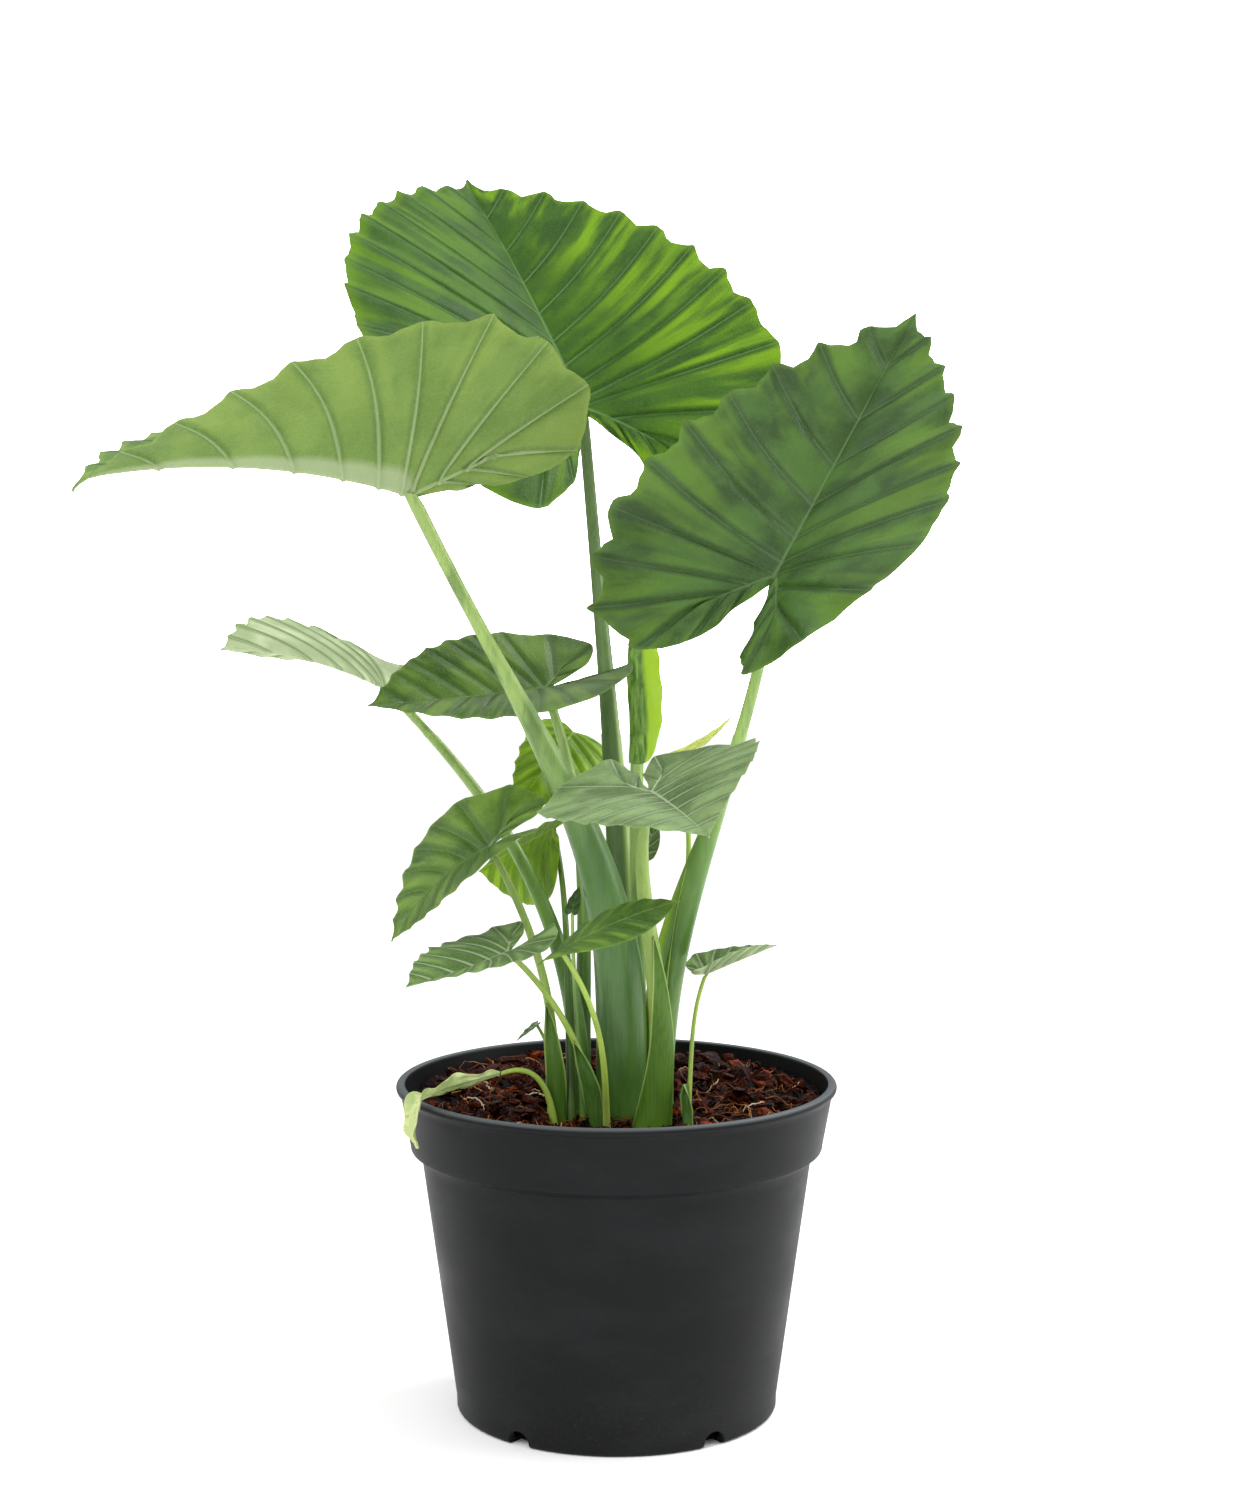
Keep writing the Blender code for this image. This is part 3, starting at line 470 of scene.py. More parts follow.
@dataclass(frozen=True)
class Coir(Finish):
    """Damp coconut coir and bark: dark red-brown husk pieces with orange, fibrous faces.

    Wet faces catch small highlights. The gaps between pieces are nearly black: the bed there is
    partly the coir's own damp colour and partly painted shade.
    """

    dark: str
    mid: str
    bright: str
    gloss: float = 0.62
    shine: float = 0.14

    def surface(self, put: Put) -> Surface:
        """Return what the finish looks like."""
        place = put(Node.PLACE)
        tone = put(Node.NUMBER, attribute_name="tone")
        # Fibre bundles about 1.5 mm thick, with finer hairs on them
        fibres = put(Node.CLOUDS, put(Node.STRETCH, place, (700.0, 260.0, 500.0)), 1.0, 4.0, 0.65)
        clouds = put(Node.CLOUDS, place, 160.0, 3.0, 0.55)
        colour = layered(put, self.dark, (tone, 0.15, 0.7, 0.0, 1.0, self.mid),
                         (tone, 0.7, 1.0, 0.0, 1.0, self.bright),
                         (fibres, 0.45, 0.75, 0.0, 0.5, self.bright),
                         (clouds, 0.3, 0.55, 0.75, 0.0, self.dark))
        rough = put(Node.STEP, clouds, 0.3, 0.7, self.gloss - 0.22, self.gloss + 0.12)
        return Surface(colour, rough, fibres, 0.8, specular=self.shine)


# The bed's near-black is partly damp coir's own colour and partly painted shade in the gaps between
# chips
COIR_BED = Coir("coir_bed", "#050101", "#140502", "#341006", shine=0.04)
COIR_CHIP = Coir("coir_chip", "#0a0201", "#2e0d05", "#8c3814", 0.6, shine=0.06)
COIR_FIBRE = Coir("coir_fibre", "#3a160a", "#8a4520", "#cf9058", 0.55)
ROOT_SKIN = Coir("young_root", "#8a6a48", "#c9b090", "#efe2cc", 0.45)
CORM_SKIN = Coir("corm_bark", "#4a3018", "#7a5c38", "#a98a5c", 0.7)


@dataclass(frozen=True)
class WitheredSkin(Finish):
    """Withered leaf: limp, pale yellow-green flesh with dry creases and grey-green patches."""

    name: str = "withered_leaf"
    pale: str = "#d6e0a2"
    green: str = "#a2b872"
    dry: str = "#9c9668"

    def surface(self, put: Put) -> Surface:
        """Return what the finish looks like."""
        place = put(Node.PLACE)
        along = put(Node.NUMBER, attribute_name="along")
        creases = put(Node.CLOUDS, put(Node.STRETCH, place, (120.0, 700.0, 420.0)), 1.0, 3.0, 0.55)
        clouds = put(Node.CLOUDS, place, 70.0, 3.0, 0.55)
        flesh = layered(put, self.green, (clouds, 0.35, 0.65, 0.0, 1.0, self.pale),
                        (along, 0.5, 0.85, 0.0, 0.6, self.pale),
                        (creases, 0.5, 0.75, 0.0, 0.55, self.dry))
        gloss = put(Node.STEP, creases, 0.3, 0.7, 0.48, 0.62)
        return Surface(flesh, gloss, creases, 0.5, specular=0.4, through=flesh, through_share=0.25)


@dataclass(frozen=True)
class FurledSkin(Finish):
    """The newest leaf, still rolled up: tender, thin and lime green where light passes it."""

    name: str = "furled_leaf"
    roll: str = "#54802e"
    ridge: str = "#92b656"
    margin: str = "#c2e046"

    def surface(self, put: Put) -> Surface:
        """Return what the finish looks like."""
        place = put(Node.PLACE)
        outward = put(Node.NUMBER, attribute_name="share")
        pleats = put(Node.CLOUDS, put(Node.STRETCH, place, (420.0, 420.0, 60.0)), 1.0, 3.0, 0.55)
        cross = put(Node.CLOUDS, put(Node.STRETCH, place, (150.0, 150.0, 520.0)), 1.0, 2.0, 0.5)
        flesh = layered(put, self.roll, (pleats, 0.4, 0.62, 0.0, 1.0, self.ridge),
                        (cross, 0.5, 0.75, 0.0, 0.3, self.roll),
                        (outward, 0.05, 0.3, 0.0, 1.0, self.margin))
        height = put(Node.PLUS, pleats, cross)
        gloss = put(Node.STEP, pleats, 0.3, 0.7, 0.38, 0.5)
        lit = layered(put, flesh, (outward, 0.05, 0.3, 0.2, 0.9, self.margin))
        return Surface(flesh, gloss, height, 0.5, coat=0.1, through=lit, through_share=0.45)


@dataclass(frozen=True)
class PaleFloor(Finish):
    """Smooth white studio floor, with a tone that varies by a hair over a third of a metre."""

    name: str = "pale_floor"

    def surface(self, put: Put) -> Surface:
        """Return what the finish looks like."""
        place = put(Node.PLACE)
        clouds = put(Node.CLOUDS, place, 3.0, 2.0, 0.5)
        colour = put(Node.BLEND, clouds, "#fafafa", "#fcfcfc")
        gloss = put(Node.STEP, clouds, 0.3, 0.7, 0.68, 0.72)
        return Surface(colour, gloss, clouds, 0.01, specular=0.1)


def smooth_curve(points: np.ndarray, steps: int) -> np.ndarray:
    """Return a Catmull-Rom curve through the points, with the given steps between each two."""
    points = np.asarray(points, float)
    padded = np.vstack([2 * points[0] - points[1], points, 2 * points[-1] - points[-2]])
    pieces = []
    t = np.linspace(0.0, 1.0, steps, endpoint=False)[:, None]
    for a, b, c, d in zip(padded, padded[1:], padded[2:], padded[3:]):
        pieces.append(0.5 * (2 * b + (c - a) * t + (2 * a - 5 * b + 4 * c - d) * t ** 2
                             + (3 * b - a - 3 * c + d) * t ** 3))
    pieces.append(points[-1:])
    return np.vstack(pieces)


def point_along(curve: np.ndarray, fraction: np.ndarray) -> np.ndarray:
    """Return the points at the given fractions of a curve's length."""
    lengths = np.r_[0.0, np.cumsum(np.linalg.norm(np.diff(curve, axis=0), axis=1))]
    wanted = np.asarray(fraction) * lengths[-1]
    return np.stack([np.interp(wanted, lengths, column) for column in curve.T], axis=-1)


def bezier(points: tuple, t: np.ndarray) -> np.ndarray:
    """Return the points at t of a cubic curve with four control points."""
    a, b, c, d = (np.asarray(p, float) for p in points)
    t = np.asarray(t)[:, None]
    return (1 - t) ** 3 * a + 3 * t * (1 - t) ** 2 * b + 3 * t ** 2 * (1 - t) * c + t ** 3 * d


def bent_run(start_angle: np.ndarray, bend: np.ndarray,
             distance: np.ndarray) -> tuple[np.ndarray, np.ndarray]:
    """Return how far along and how far up a line gets that starts at an angle and bends evenly."""
    bend = np.where(np.abs(bend) < STRAIGHT, STRAIGHT, bend)
    end_angle = start_angle + bend * distance
    along = (np.sin(end_angle) - np.sin(start_angle)) / bend
    up = (np.cos(start_angle) - np.cos(end_angle)) / bend
    return along, up


def unit(vectors: np.ndarray) -> np.ndarray:
    """Return the vectors scaled to length 1."""
    return vectors / np.maximum(np.linalg.norm(vectors, axis=-1, keepdims=True), 1e-9)


def turning(angle: float, first: int, second: int) -> np.ndarray:
    """Return the matrix that turns rows of points from one axis towards another."""
    matrix = np.eye(3)
    matrix[first, first] = matrix[second, second] = math.cos(angle)
    matrix[first, second], matrix[second, first] = math.sin(angle), -math.sin(angle)
    return matrix


def add_object(name: str, data: bpy.types.ID) -> bpy.types.Object:
    """Return a new object with this data, linked to the scene."""
    made = bpy.data.objects.new(name, data)
    bpy.context.scene.collection.objects.link(made)
    return made


def ring_faces(rows: int, count: int, first: int = 0) -> list[list[int]]:
    """Return the four-sided faces that join rings of vertices, each ring to the next.

    Args:
        rows: how many gaps between rings there are.
        count: how many vertices a ring has.
        first: the number of the first vertex.

    Returns:
        Lists of four vertex numbers.
    """
    faces = []
    for row in range(rows):
        low = first + row * count
        for k in range(count):
            after = (k + 1) % count
            faces.append([low + k, low + after, low + count + after, low + count + k])
    return faces


def add_piece(name: str, points: np.ndarray, faces: list, materials: list,
              numbers: dict | None = None, face_slots: list | None = None,
              replaced: tuple = (), sharp: float = 60.0) -> bpy.types.Object:
    """Make one visible piece and hang it on the body that every piece rides on.

    Args:
        name: the piece's name.
        points: vertex positions in millimetres.
        faces: lists of vertex numbers.
        materials: the piece's materials.
        numbers: values stored at each vertex, plain or as vectors of three.
        face_slots: the material number of each face.
        replaced: the CAD nodes that the piece stands for.
        sharp: edges that turn more than this many degrees stay sharp.

    Returns:
        The new object.
    """
    mesh = bpy.data.meshes.new(name)
    mesh.from_pydata((np.asarray(points) * MM).tolist(), [], faces)
    for material in materials:
        mesh.materials.append(material)
    if face_slots is not None:
        mesh.polygons.foreach_set("material_index", np.asarray(face_slots, np.int32))
    for key, values in (numbers or {}).items():
        values = np.asarray(values, np.float32)
        kind, field = ("FLOAT_VECTOR", "vector") if values.ndim == 2 else ("FLOAT", "value")
        mesh.attributes.new(key, kind, "POINT").data.foreach_set(field, values.ravel())
    mesh.shade_smooth()
    mesh.set_sharp_from_angle(angle=math.radians(sharp))
    mesh.update()
    piece = add_object(name, mesh)
    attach(piece, BODY)
    if replaced:
        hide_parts(*replaced)
    LOG.info("%s: %d faces", name, len(faces))
    return piece


@dataclass
class Sheet:
    """Grids of points welded into one sheet, and then thickened into a closed body."""

    weld_distance: float = 0.002

    def __post_init__(self) -> None:
        """Start with nothing."""
        self.points: list[np.ndarray] = []
        self.numbers: dict[str, list[np.ndarray]] = {}
        self.faces: list[np.ndarray] = []
        self.count = 0

    def add(self, grid: np.ndarray, numbers: dict[str, np.ndarray], turned: bool) -> None:
        """Add one grid.

        Args:
            grid: rows by columns of points.
            numbers: values for each point, as arrays of the same rows and columns.
            turned: whether its faces are turned over.
        """
        rows, columns = grid.shape[:2]
        index = self.count + np.arange(rows * columns).reshape(rows, columns)
        corners = [index[:-1, :-1], index[1:, :-1], index[1:, 1:], index[:-1, 1:]]
        quads = np.stack(corners[::-1] if turned else corners, axis=-1).reshape(-1, 4)
        self.points.append(grid.reshape(-1, 3))
        self.faces.append(quads)
        for key, values in numbers.items():
            self.numbers.setdefault(key, []).append(values.reshape(rows * columns, -1))
        self.count += rows * columns

    def welded(self) -> tuple[np.ndarray, dict, list]:
        """Return points, numbers and faces with meeting points made one."""
        points = np.vstack(self.points)
        keys = np.round(points / self.weld_distance).astype(np.int64)
        _, first, where = np.unique(keys, axis=0, return_index=True, return_inverse=True)
        where = where.reshape(-1)
        numbers = {key: np.vstack(parts)[first] for key, parts in self.numbers.items()}
        faces = []
        for quad in where[np.vstack(self.faces)]:
            corners = [c for c, before in zip(quad, np.roll(quad, 1)) if c != before]
            if len(set(corners)) >= 3 and len(set(corners)) == len(corners):
                faces.append([int(c) for c in corners])
        return points[first], numbers, faces

    def thickened(self, above: str, below: str) -> tuple[np.ndarray, dict, list, list]:
        """Return a closed body.

        Args:
            above: the name of the number that says how far the upper face lies above the sheet.
            below: the same for the lower face, downwards.

        Returns:
            Points, numbers, faces and each face's material number: 0 above, 1 below.
        """
        points, numbers, faces = self.welded()
        normals = np.zeros_like(points)
        for face in faces:
            corners = points[face]
            normal = np.cross(corners[2] - corners[0], corners[-1] - corners[1])
            normals[face] += normal
        normals = unit(normals)
        count = len(points)
        both = np.vstack([points + normals * numbers[above], points - normals * numbers[below]])
        edges: dict[tuple[int, int], int] = {}
        for face in faces:
            for a, b in zip(face, face[1:] + face[:1]):
                edges[(a, b)] = edges.get((a, b), 0) + 1
        rim = [(a, b) for a, b in edges if (b, a) not in edges]
        lower = [[c + count for c in face[::-1]] for face in faces]
        strip = [[b, a, a + count, b + count] for a, b in rim]
        doubled = {key: np.vstack([v, v]).squeeze() for key, v in numbers.items()}
        slots = [0] * len(faces) + [1] * len(faces) + [0] * len(strip)
        return both, doubled, faces + lower + strip, slots


def add_thin_sheet(name: str, grid: np.ndarray, half: np.ndarray, numbers: dict, turned: bool,
                   skin: Finish, replaced: tuple = ()) -> bpy.types.Object:
    """Make a piece of one grid of points that is as thick above it as below it.

    Args:
        name: the piece's name.
        grid: rows by columns of points.
        half: half the thickness at each point.
        numbers: values for each point that the finish reads.
        turned: whether the sheet's faces are turned over.
        skin: the finish.
        replaced: the CAD nodes that the piece stands for.

    Returns:
        The new object.
    """
    sheet = Sheet()
    sheet.add(grid, {**numbers, "half": np.broadcast_to(half, grid.shape[:2])}, turned)
    points, doubled, faces, _ = sheet.thickened("half", "half")
    doubled.pop("half")
    return add_piece(name, points, faces, [skin.dress()], doubled, replaced=replaced,
                     sharp=SHEET_SHARP)


@dataclass
class Stalk:
    """A leaf stalk along a smooth curve from its foot in the coir to its neck under the blade."""

    foot: tuple
    low: tuple
    high: tuple
    neck: tuple
    radii: tuple
    wing: float = 0.0
    wing_angle: float = 180.0
    wing_top: float = 0.6
    sides: int = 24
    rings: int = 48
    foot_height: float = 180.0

    def path(self, fractions: np.ndarray) -> tuple[np.ndarray, np.ndarray]:
        """Return points and radii at the given fractions of the stalk's length."""
        curve = bezier(((*self.foot, self.foot_height), self.low, self.high, self.neck),
                       np.linspace(0.0, 1.0, STALK_POINTS))
        knots = smooth_curve([[r] for r in self.radii], RADIUS_STEPS)[:, 0]
        return (point_along(curve, fractions),
                np.interp(fractions, np.linspace(0, 1, len(knots)), knots))

    def frames(self, path: np.ndarray) -> tuple[np.ndarray, np.ndarray]:
        """Return two directions square to the path at each of its points."""
        tangents = np.gradient(path, axis=0)
        tangents[0] = (0.0, 0.0, 1.0)
        tangents = unit(tangents)
        first = unit(np.cross((0.0, 1.0, 0.0), tangents))
        return first, np.cross(tangents, first)

    def build(self, name: str, skin: StalkSkin, seat: np.ndarray, drop: float,
              slot: str = "stalk_green") -> bpy.types.Object:
        """Make the stalk's mesh, its top flush with the blade.

        Args:
            name: the leaf's name.
            skin: the finish.
            seat: the direction square to the face that its top lies against.
            drop: how far below its neck that face is.
            slot: not used.

        Returns:
            The new object.
        """
        steps = np.linspace(0.0, 1.0, self.rings + 1)
        path, radii = self.path(steps)
        first, second = self.frames(path)
        path[-1] -= drop * seat
        first[-1] = unit(first[-1] - (first[-1] @ seat) * seat)
        second[-1] = np.cross(seat, first[-1])
        turns = np.arange(self.sides) / self.sides * 2 * math.pi
        toward = np.maximum(np.cos(turns - math.radians(self.wing_angle)), 0) ** 4
        fade = np.sin(math.pi * np.minimum(1.0, steps / self.wing_top)) if self.wing else 0 * steps
        reach = radii[:, None] * (1 + self.wing * fade[:, None] * toward[None])
        # A shallow groove runs up the side that faces the blade, and the rest is a little uneven
        groove = np.maximum(np.cos(turns - math.pi / 2), 0) ** 12
        reach = reach * (1 - 0.1 * groove[None] * np.sin(math.pi * steps)[:, None])
        reach = reach * (1 + 0.012 * np.sin(3 * turns[None] + 9 * steps[:, None]))
        rings = (path[:, None] + (reach * np.cos(turns))[..., None] * first[:, None]
                 + (reach * np.sin(turns))[..., None] * second[:, None])
        count = self.sides
        points = np.vstack([rings.reshape(-1, 3), path[:1], path[-1:]])
        faces = ring_faces(self.rings, count)
        last = self.rings * count
        foot, top = len(points) - 2, len(points) - 1
        faces += [[foot, (k + 1) % count, k] for k in range(count)]
        faces += [[top, last + k, last + (k + 1) % count] for k in range(count)]
        along = np.r_[np.repeat(steps, count), 0.0, 1.0]
        wing = np.r_[(fade[:, None] * toward[None]).ravel(), 0.0, 0.0]
        return add_piece(f"petiole_{name}", points, faces, [skin.dress()],
                         {"along": along, "wing": wing}, replaced=(f"stalk_{name}",))


@dataclass
class Blade:
    """A leaf blade. Pairs hold the left and the right half, seen from above with the tip ahead."""

    length: float
    width: float
    heading: float
    pitch: float
    roll: float = 0.0
    lobe: float = 1.0
    arch: float = 0.0
    lobe_arch: float = 0.0
    fold: tuple = (10.0, 10.0)
    cup: tuple = (0.0, 0.0)
    flare: tuple = (0.0, 0.0)
    taper: tuple = (0.0, 0.0)
    spread: tuple = (0.0, 0.0)
    twist: float = 0.0
    sweep: float = 0.0
    uneven: float = 0.0
    lobe_uneven: float = 0.0
    wave: float = 3.0
    scallop: float = 3.0
    puff: float = 1.0
    lobe_veins: int = 2
    veins: int = 7
    vein_sweep: float = 1.5
    drop: float = 0.0
    thickness: float = 1.1
    seed: int = 1
    rows: tuple = FINE_ROWS
    columns: int = 22
    rib_depth: float = 2.2
    vein_depth: float = 0.55
    # How far the pale band of painted shade beside the underside's midrib reaches at the neck, in
    # mm
    shaded_band: float = 0.0
    sunlit: tuple = (1.0, 1.0)
    hook: float = 0.0
    finer_scallops: float = 1.4

    def axes(self) -> tuple[np.ndarray, np.ndarray, np.ndarray]:
        """Return the blade's forward, right and up directions at its neck."""
        heading, pitch, roll = (math.radians(v) for v in (self.heading, self.pitch, self.roll))
        forward = np.array([math.cos(heading) * math.cos(pitch),
                            math.sin(heading) * math.cos(pitch), math.sin(pitch)])
        level = np.array([math.sin(heading), -math.cos(heading), 0.0])
        above = np.cross(level, forward)
        right = level * math.cos(roll) - above * math.sin(roll)
        return forward, right, above * math.cos(roll) + level * math.sin(roll)

    def flat_half(self) -> tuple[np.ndarray, np.ndarray, np.ndarray]:
        """Lay out half a blade of length 1 as lines that run from a rib to the margin.

        Returns:
            The grid of (across, forward), each line's vein number, and the share of the way
            from rib to margin.
        """
        outline = smooth_curve(HALF_OUTLINE, OUTLINE_STEPS)
        inner = outline[:LOBE_APEX * OUTLINE_STEPS + 1]
        outer = outline[LOBE_APEX * OUTLINE_STEPS:WIDEST * OUTLINE_STEPS + 1]
        ahead = outline[WIDEST * OUTLINE_STEPS:]
        lobe_rows = np.r_[np.add.outer(np.arange(self.lobe_veins), self.rows).ravel(),
                          self.lobe_veins]
        ahead_rows = np.r_[np.add.outer(np.arange(self.veins), self.rows).ravel(), self.veins][1:]
        lobe_steps = lobe_rows / self.lobe_veins
        ahead_steps = ahead_rows / self.veins
        rib = np.asarray(LOBE_RIB_END)
        starts = np.vstack([
            lobe_steps[:, None] * rib,
            (1.0 - lobe_steps[1:, None]) * rib,
            np.stack([0 * ahead_steps, ahead_steps ** self.vein_sweep], axis=-1),
        ])
        ends = np.vstack([
            point_along(inner, lobe_steps),
            point_along(outer, lobe_steps[1:]),
            point_along(ahead, ahead_steps ** 0.9),
        ])
        vein = np.r_[lobe_rows, self.lobe_veins + lobe_rows[1:], 2 * self.lobe_veins + ahead_rows]
        share = np.linspace(0.0, 1.0, self.columns + 1)
        share = 0.82 * share + 0.18 * share ** 3
        grid = starts[:, None] + (ends - starts)[:, None] * share[None, :, None]
        bow = np.zeros(len(starts))
        first = len(starts) - len(ahead_steps) - 1
        bow[first:] = np.sin(math.pi * np.r_[0.0, ahead_steps]).clip(0) ** 0.6
        reach = np.linalg.norm(ends - starts, axis=1)
        grid[..., 1] -= VEIN_BOW * (bow * reach)[:, None] * np.sin(math.pi * share)[None]
        return grid, vein, share

    def edge_strength(self, half: Half, vein: np.ndarray) -> np.ndarray:
        """Return how strongly the edge is waved at each vein number, with a seeded draw a vein."""
        total = 2 * self.lobe_veins + self.veins
        random = np.random.default_rng(self.seed * 2 + (half is Half.RIGHT))
        draw = random.uniform(*EDGE_DRAW, total + 1)
        strength = np.interp(vein, np.arange(total + 1), draw)
        return strength * np.clip(vein, 0, 1) * np.clip((total - vein) / 1.5, 0, 1)

    def bent_half(self, neck: np.ndarray, half: Half) -> tuple[np.ndarray, dict]:
        """Return half of the blade in place, and the numbers that its finish reads.

        Args:
            neck: where the stalk meets the blade.
            half: which half.

        Returns:
            The grid of points, and values for each of them by name.
        """
        side, which = half.value, 0 if half is Half.LEFT else 1
        flat, vein, share = self.flat_half()
        across = flat[..., 0] * self.width * (1 + side * self.uneven)
        across = across * (1 - self.taper[which] * np.clip(flat[..., 1], 0, 1) ** 1.3)
        across = across + self.width * self.spread[which] * np.clip(-flat[..., 1] - 0.02, 0, 1)
        lobe = self.lobe * (1 + side * self.lobe_uneven * np.clip(flat[..., 0] / 0.05, 0, 1))
        ahead = flat[..., 1] * self.length * np.where(flat[..., 1] < 0, lobe, 1.0)
        numbers = self.finish_numbers(across, ahead, vein, share, side)

        strength = self.edge_strength(half, vein)[:, None]
        ripple = self.edge_ripple(vein, half)
        bump = np.abs(np.sin(math.pi * vein))[:, None]
        outward = np.stack([across[:, -1:] - across[:, :1], ahead[:, -1:] - ahead[:, :1]], axis=-1)
        outward = unit(outward)
        push = self.finer_scallops * self.scallop * strength * (0.5 - bump ** 1.3 + 0.12 * ripple)
        push = push * share[None] ** 4
        across = across + outward[..., 0] * push
        ahead = ahead + outward[..., 1] * push

        fold = math.radians(self.fold[which])
        fold = fold + math.radians(self.flare[which]) * np.clip(ahead / self.length, -0.4, 1.0)
        run, lift = bent_run(fold, math.radians(self.cup[which]) / (0.5 * self.width), across)
        lift = lift + self.wave * strength * np.cos(2 * math.pi * vein)[:, None] * share[None] ** 2
        lift = lift + 0.12 * self.wave * strength * ripple * share[None] ** 5
        swell = 1.2 * self.puff * strength * bump ** 0.55
        lift = lift + swell * np.sin(math.pi * share ** 0.8)[None]
        twist = math.radians(self.twist) * np.clip(ahead / self.length, 0, 1)
        run, lift = (side * run * np.cos(twist) - lift * np.sin(twist),
                     lift * np.cos(twist) + side * run * np.sin(twist))

        arch = -math.radians(self.arch) / self.length
        lobe_arch = math.radians(self.lobe_arch) / (LOBE_DEPTH * self.length * self.lobe)
        tipward, rise = bent_run(0.0, arch, np.maximum(ahead, 0))
        backward, sink = bent_run(0.0, lobe_arch, np.maximum(-ahead, 0))
        slope = arch * np.maximum(ahead, 0) + lobe_arch * np.maximum(-ahead, 0)
        x = run + self.sweep * self.length * (np.maximum(ahead, 0) / self.length) ** 2
        y = tipward - backward - lift * np.sin(slope)
        z = rise - sink + lift * np.cos(slope)
        forward, right, up = self.axes()
        grid = np.asarray(neck) + x[..., None] * right + y[..., None] * forward + z[..., None] * up
        # The drawn-out tip turns up or down at its very end
        past = (flat[..., 1] - TIP_FROM) / TIP_SHARE
        grid[..., 2] += self.hook * np.clip(past, 0, 1) ** 1.5
        return grid, numbers

    def edge_ripple(self, vein: np.ndarray, half: Half) -> np.ndarray:
        """Return the small uneven ripple of the margin between the side veins."""
        start = np.random.default_rng(self.seed * 5 + (half is Half.RIGHT)).uniform(0, 6.28, 2)
        return (np.sin(2 * math.pi * 2.3 * vein + start[0])
                + 0.6 * np.sin(2 * math.pi * 3.7 * vein + start[1]))[:, None]

    def finish_numbers(self, across: np.ndarray, ahead: np.ndarray, vein: np.ndarray,
                       share: np.ndarray, side: int) -> dict[str, np.ndarray]:
        """Return what the finish and the relief need at each point, in millimetres.

        Args:
            across: how far each point of the flat half lies from the midrib.
            ahead: how far it lies ahead of the neck.
            vein: the vein number of each row.
            share: the share of the way from rib to margin of each column.
            side: -1 for the left half and 1 for the right one.

        Returns:
            Values for each point by name.
        """
        rows, columns = across.shape
        place = np.stack([side * across, ahead, np.full_like(across, 31.7 * self.seed)], axis=-1)
        per_vein = np.stack([np.gradient(across, vein, axis=0), np.gradient(ahead, vein, axis=0)],
                            axis=-1)
        gap = np.linalg.norm(per_vein, axis=-1)
        from_vein = np.abs(vein - np.round(vein))[:, None] * gap
        reach = np.hypot(across[:, -1:] - across[:, :1], ahead[:, -1:] - ahead[:, :1])
        shares = np.broadcast_to(share[None], (rows, columns))
        from_rib = shares * reach
        size = self.length / 230.0
        tipward = np.clip(ahead / self.length, 0, 1)
        rib_width = (2.6 * size + 0.7) * (1 - 0.75 * tipward)
        rib = np.exp(-(from_rib / rib_width) ** 2) * (1 - 0.8 * tipward)
        side_width = (0.9 + 0.5 * size) * (1 - 0.45 * shares)
        ridge = np.exp(-(from_vein / side_width) ** 2) * (1 - shares) ** 0.5
        half_skin = 0.5 * self.thickness * (0.62 - 0.25 * shares ** 4)
        sunk = 0.5 * self.rib_depth * 0.25 * rib + 0.35 * self.vein_depth * ridge
        above = half_skin - size * sunk
        below = half_skin + size * (self.rib_depth * rib + self.vein_depth * ridge)
        thin = np.where(shares > 0.999, 0.55, 1.0)
        # Where the far half lies behind the near one, no light comes through beside the rib, and
        # this pale band is painted shade
        shaded_band = self.shaded_band * (1 - tipward) ** 0.7 * np.clip(ahead / 12.0, 0, 1) ** 0.5
        return {
            "flat_mm": place,
            "from_vein_mm": from_vein,
            "from_rib_mm": from_rib,
            "rib_size": (0.45 + 0.55 * size) * (1 - 0.6 * tipward),
            "run": np.stack([np.broadcast_to(vein[:, None], (rows, columns)) + 50.0 * side, shares,
                             np.full_like(across, 3.1 * self.seed)], axis=-1),
            "share": shares,
            "shaded_band": np.clip((shaded_band - from_rib) / 6.0 + 0.5, 0, 1) * (ahead > 0),
            "sunlit": np.full_like(across, self.sunlit[0 if side < 0 else 1]),
            "above": above * thin,
            "below": below * thin,
        }

    def build(self, name: str, skin: LeafSkin, neck: tuple) -> bpy.types.Object:
        """Make the blade's mesh with its veins in relief.

        Args:
            name: the leaf's name.
            skin: the finish.
            neck: where the stalk meets the blade.

        Returns:
            The new object.
        """
        sheet = Sheet()
        for half in Half:
            grid, numbers = self.bent_half(np.asarray(neck, float), half)
            sheet.add(grid, numbers, half is Half.RIGHT)
        points, numbers, faces, slots = sheet.thickened("above", "below")
        for face in ("above", "below"):
            numbers.pop(face)
        return add_piece(f"leaf_{name}", points, faces, skin.faces(), numbers, slots,
                         replaced=(f"blade_{name}",), sharp=SHEET_SHARP)


@dataclass
class Leaf:
    """One leaf: its stalk, its blade and their finishes."""

    name: str
    stalk: Stalk
    blade: Blade
    skin: LeafSkin
    stalk_skin: StalkSkin

    def build(self) -> None:
        """Make both pieces, the stalk's top lying just under the blade."""
        drop = 0.5 * self.blade.thickness + CLEARANCE + self.blade.drop
        self.stalk.build(self.name, self.stalk_skin, self.blade.axes()[2], drop)
        self.blade.build(self.name, self.skin, self.stalk.neck)


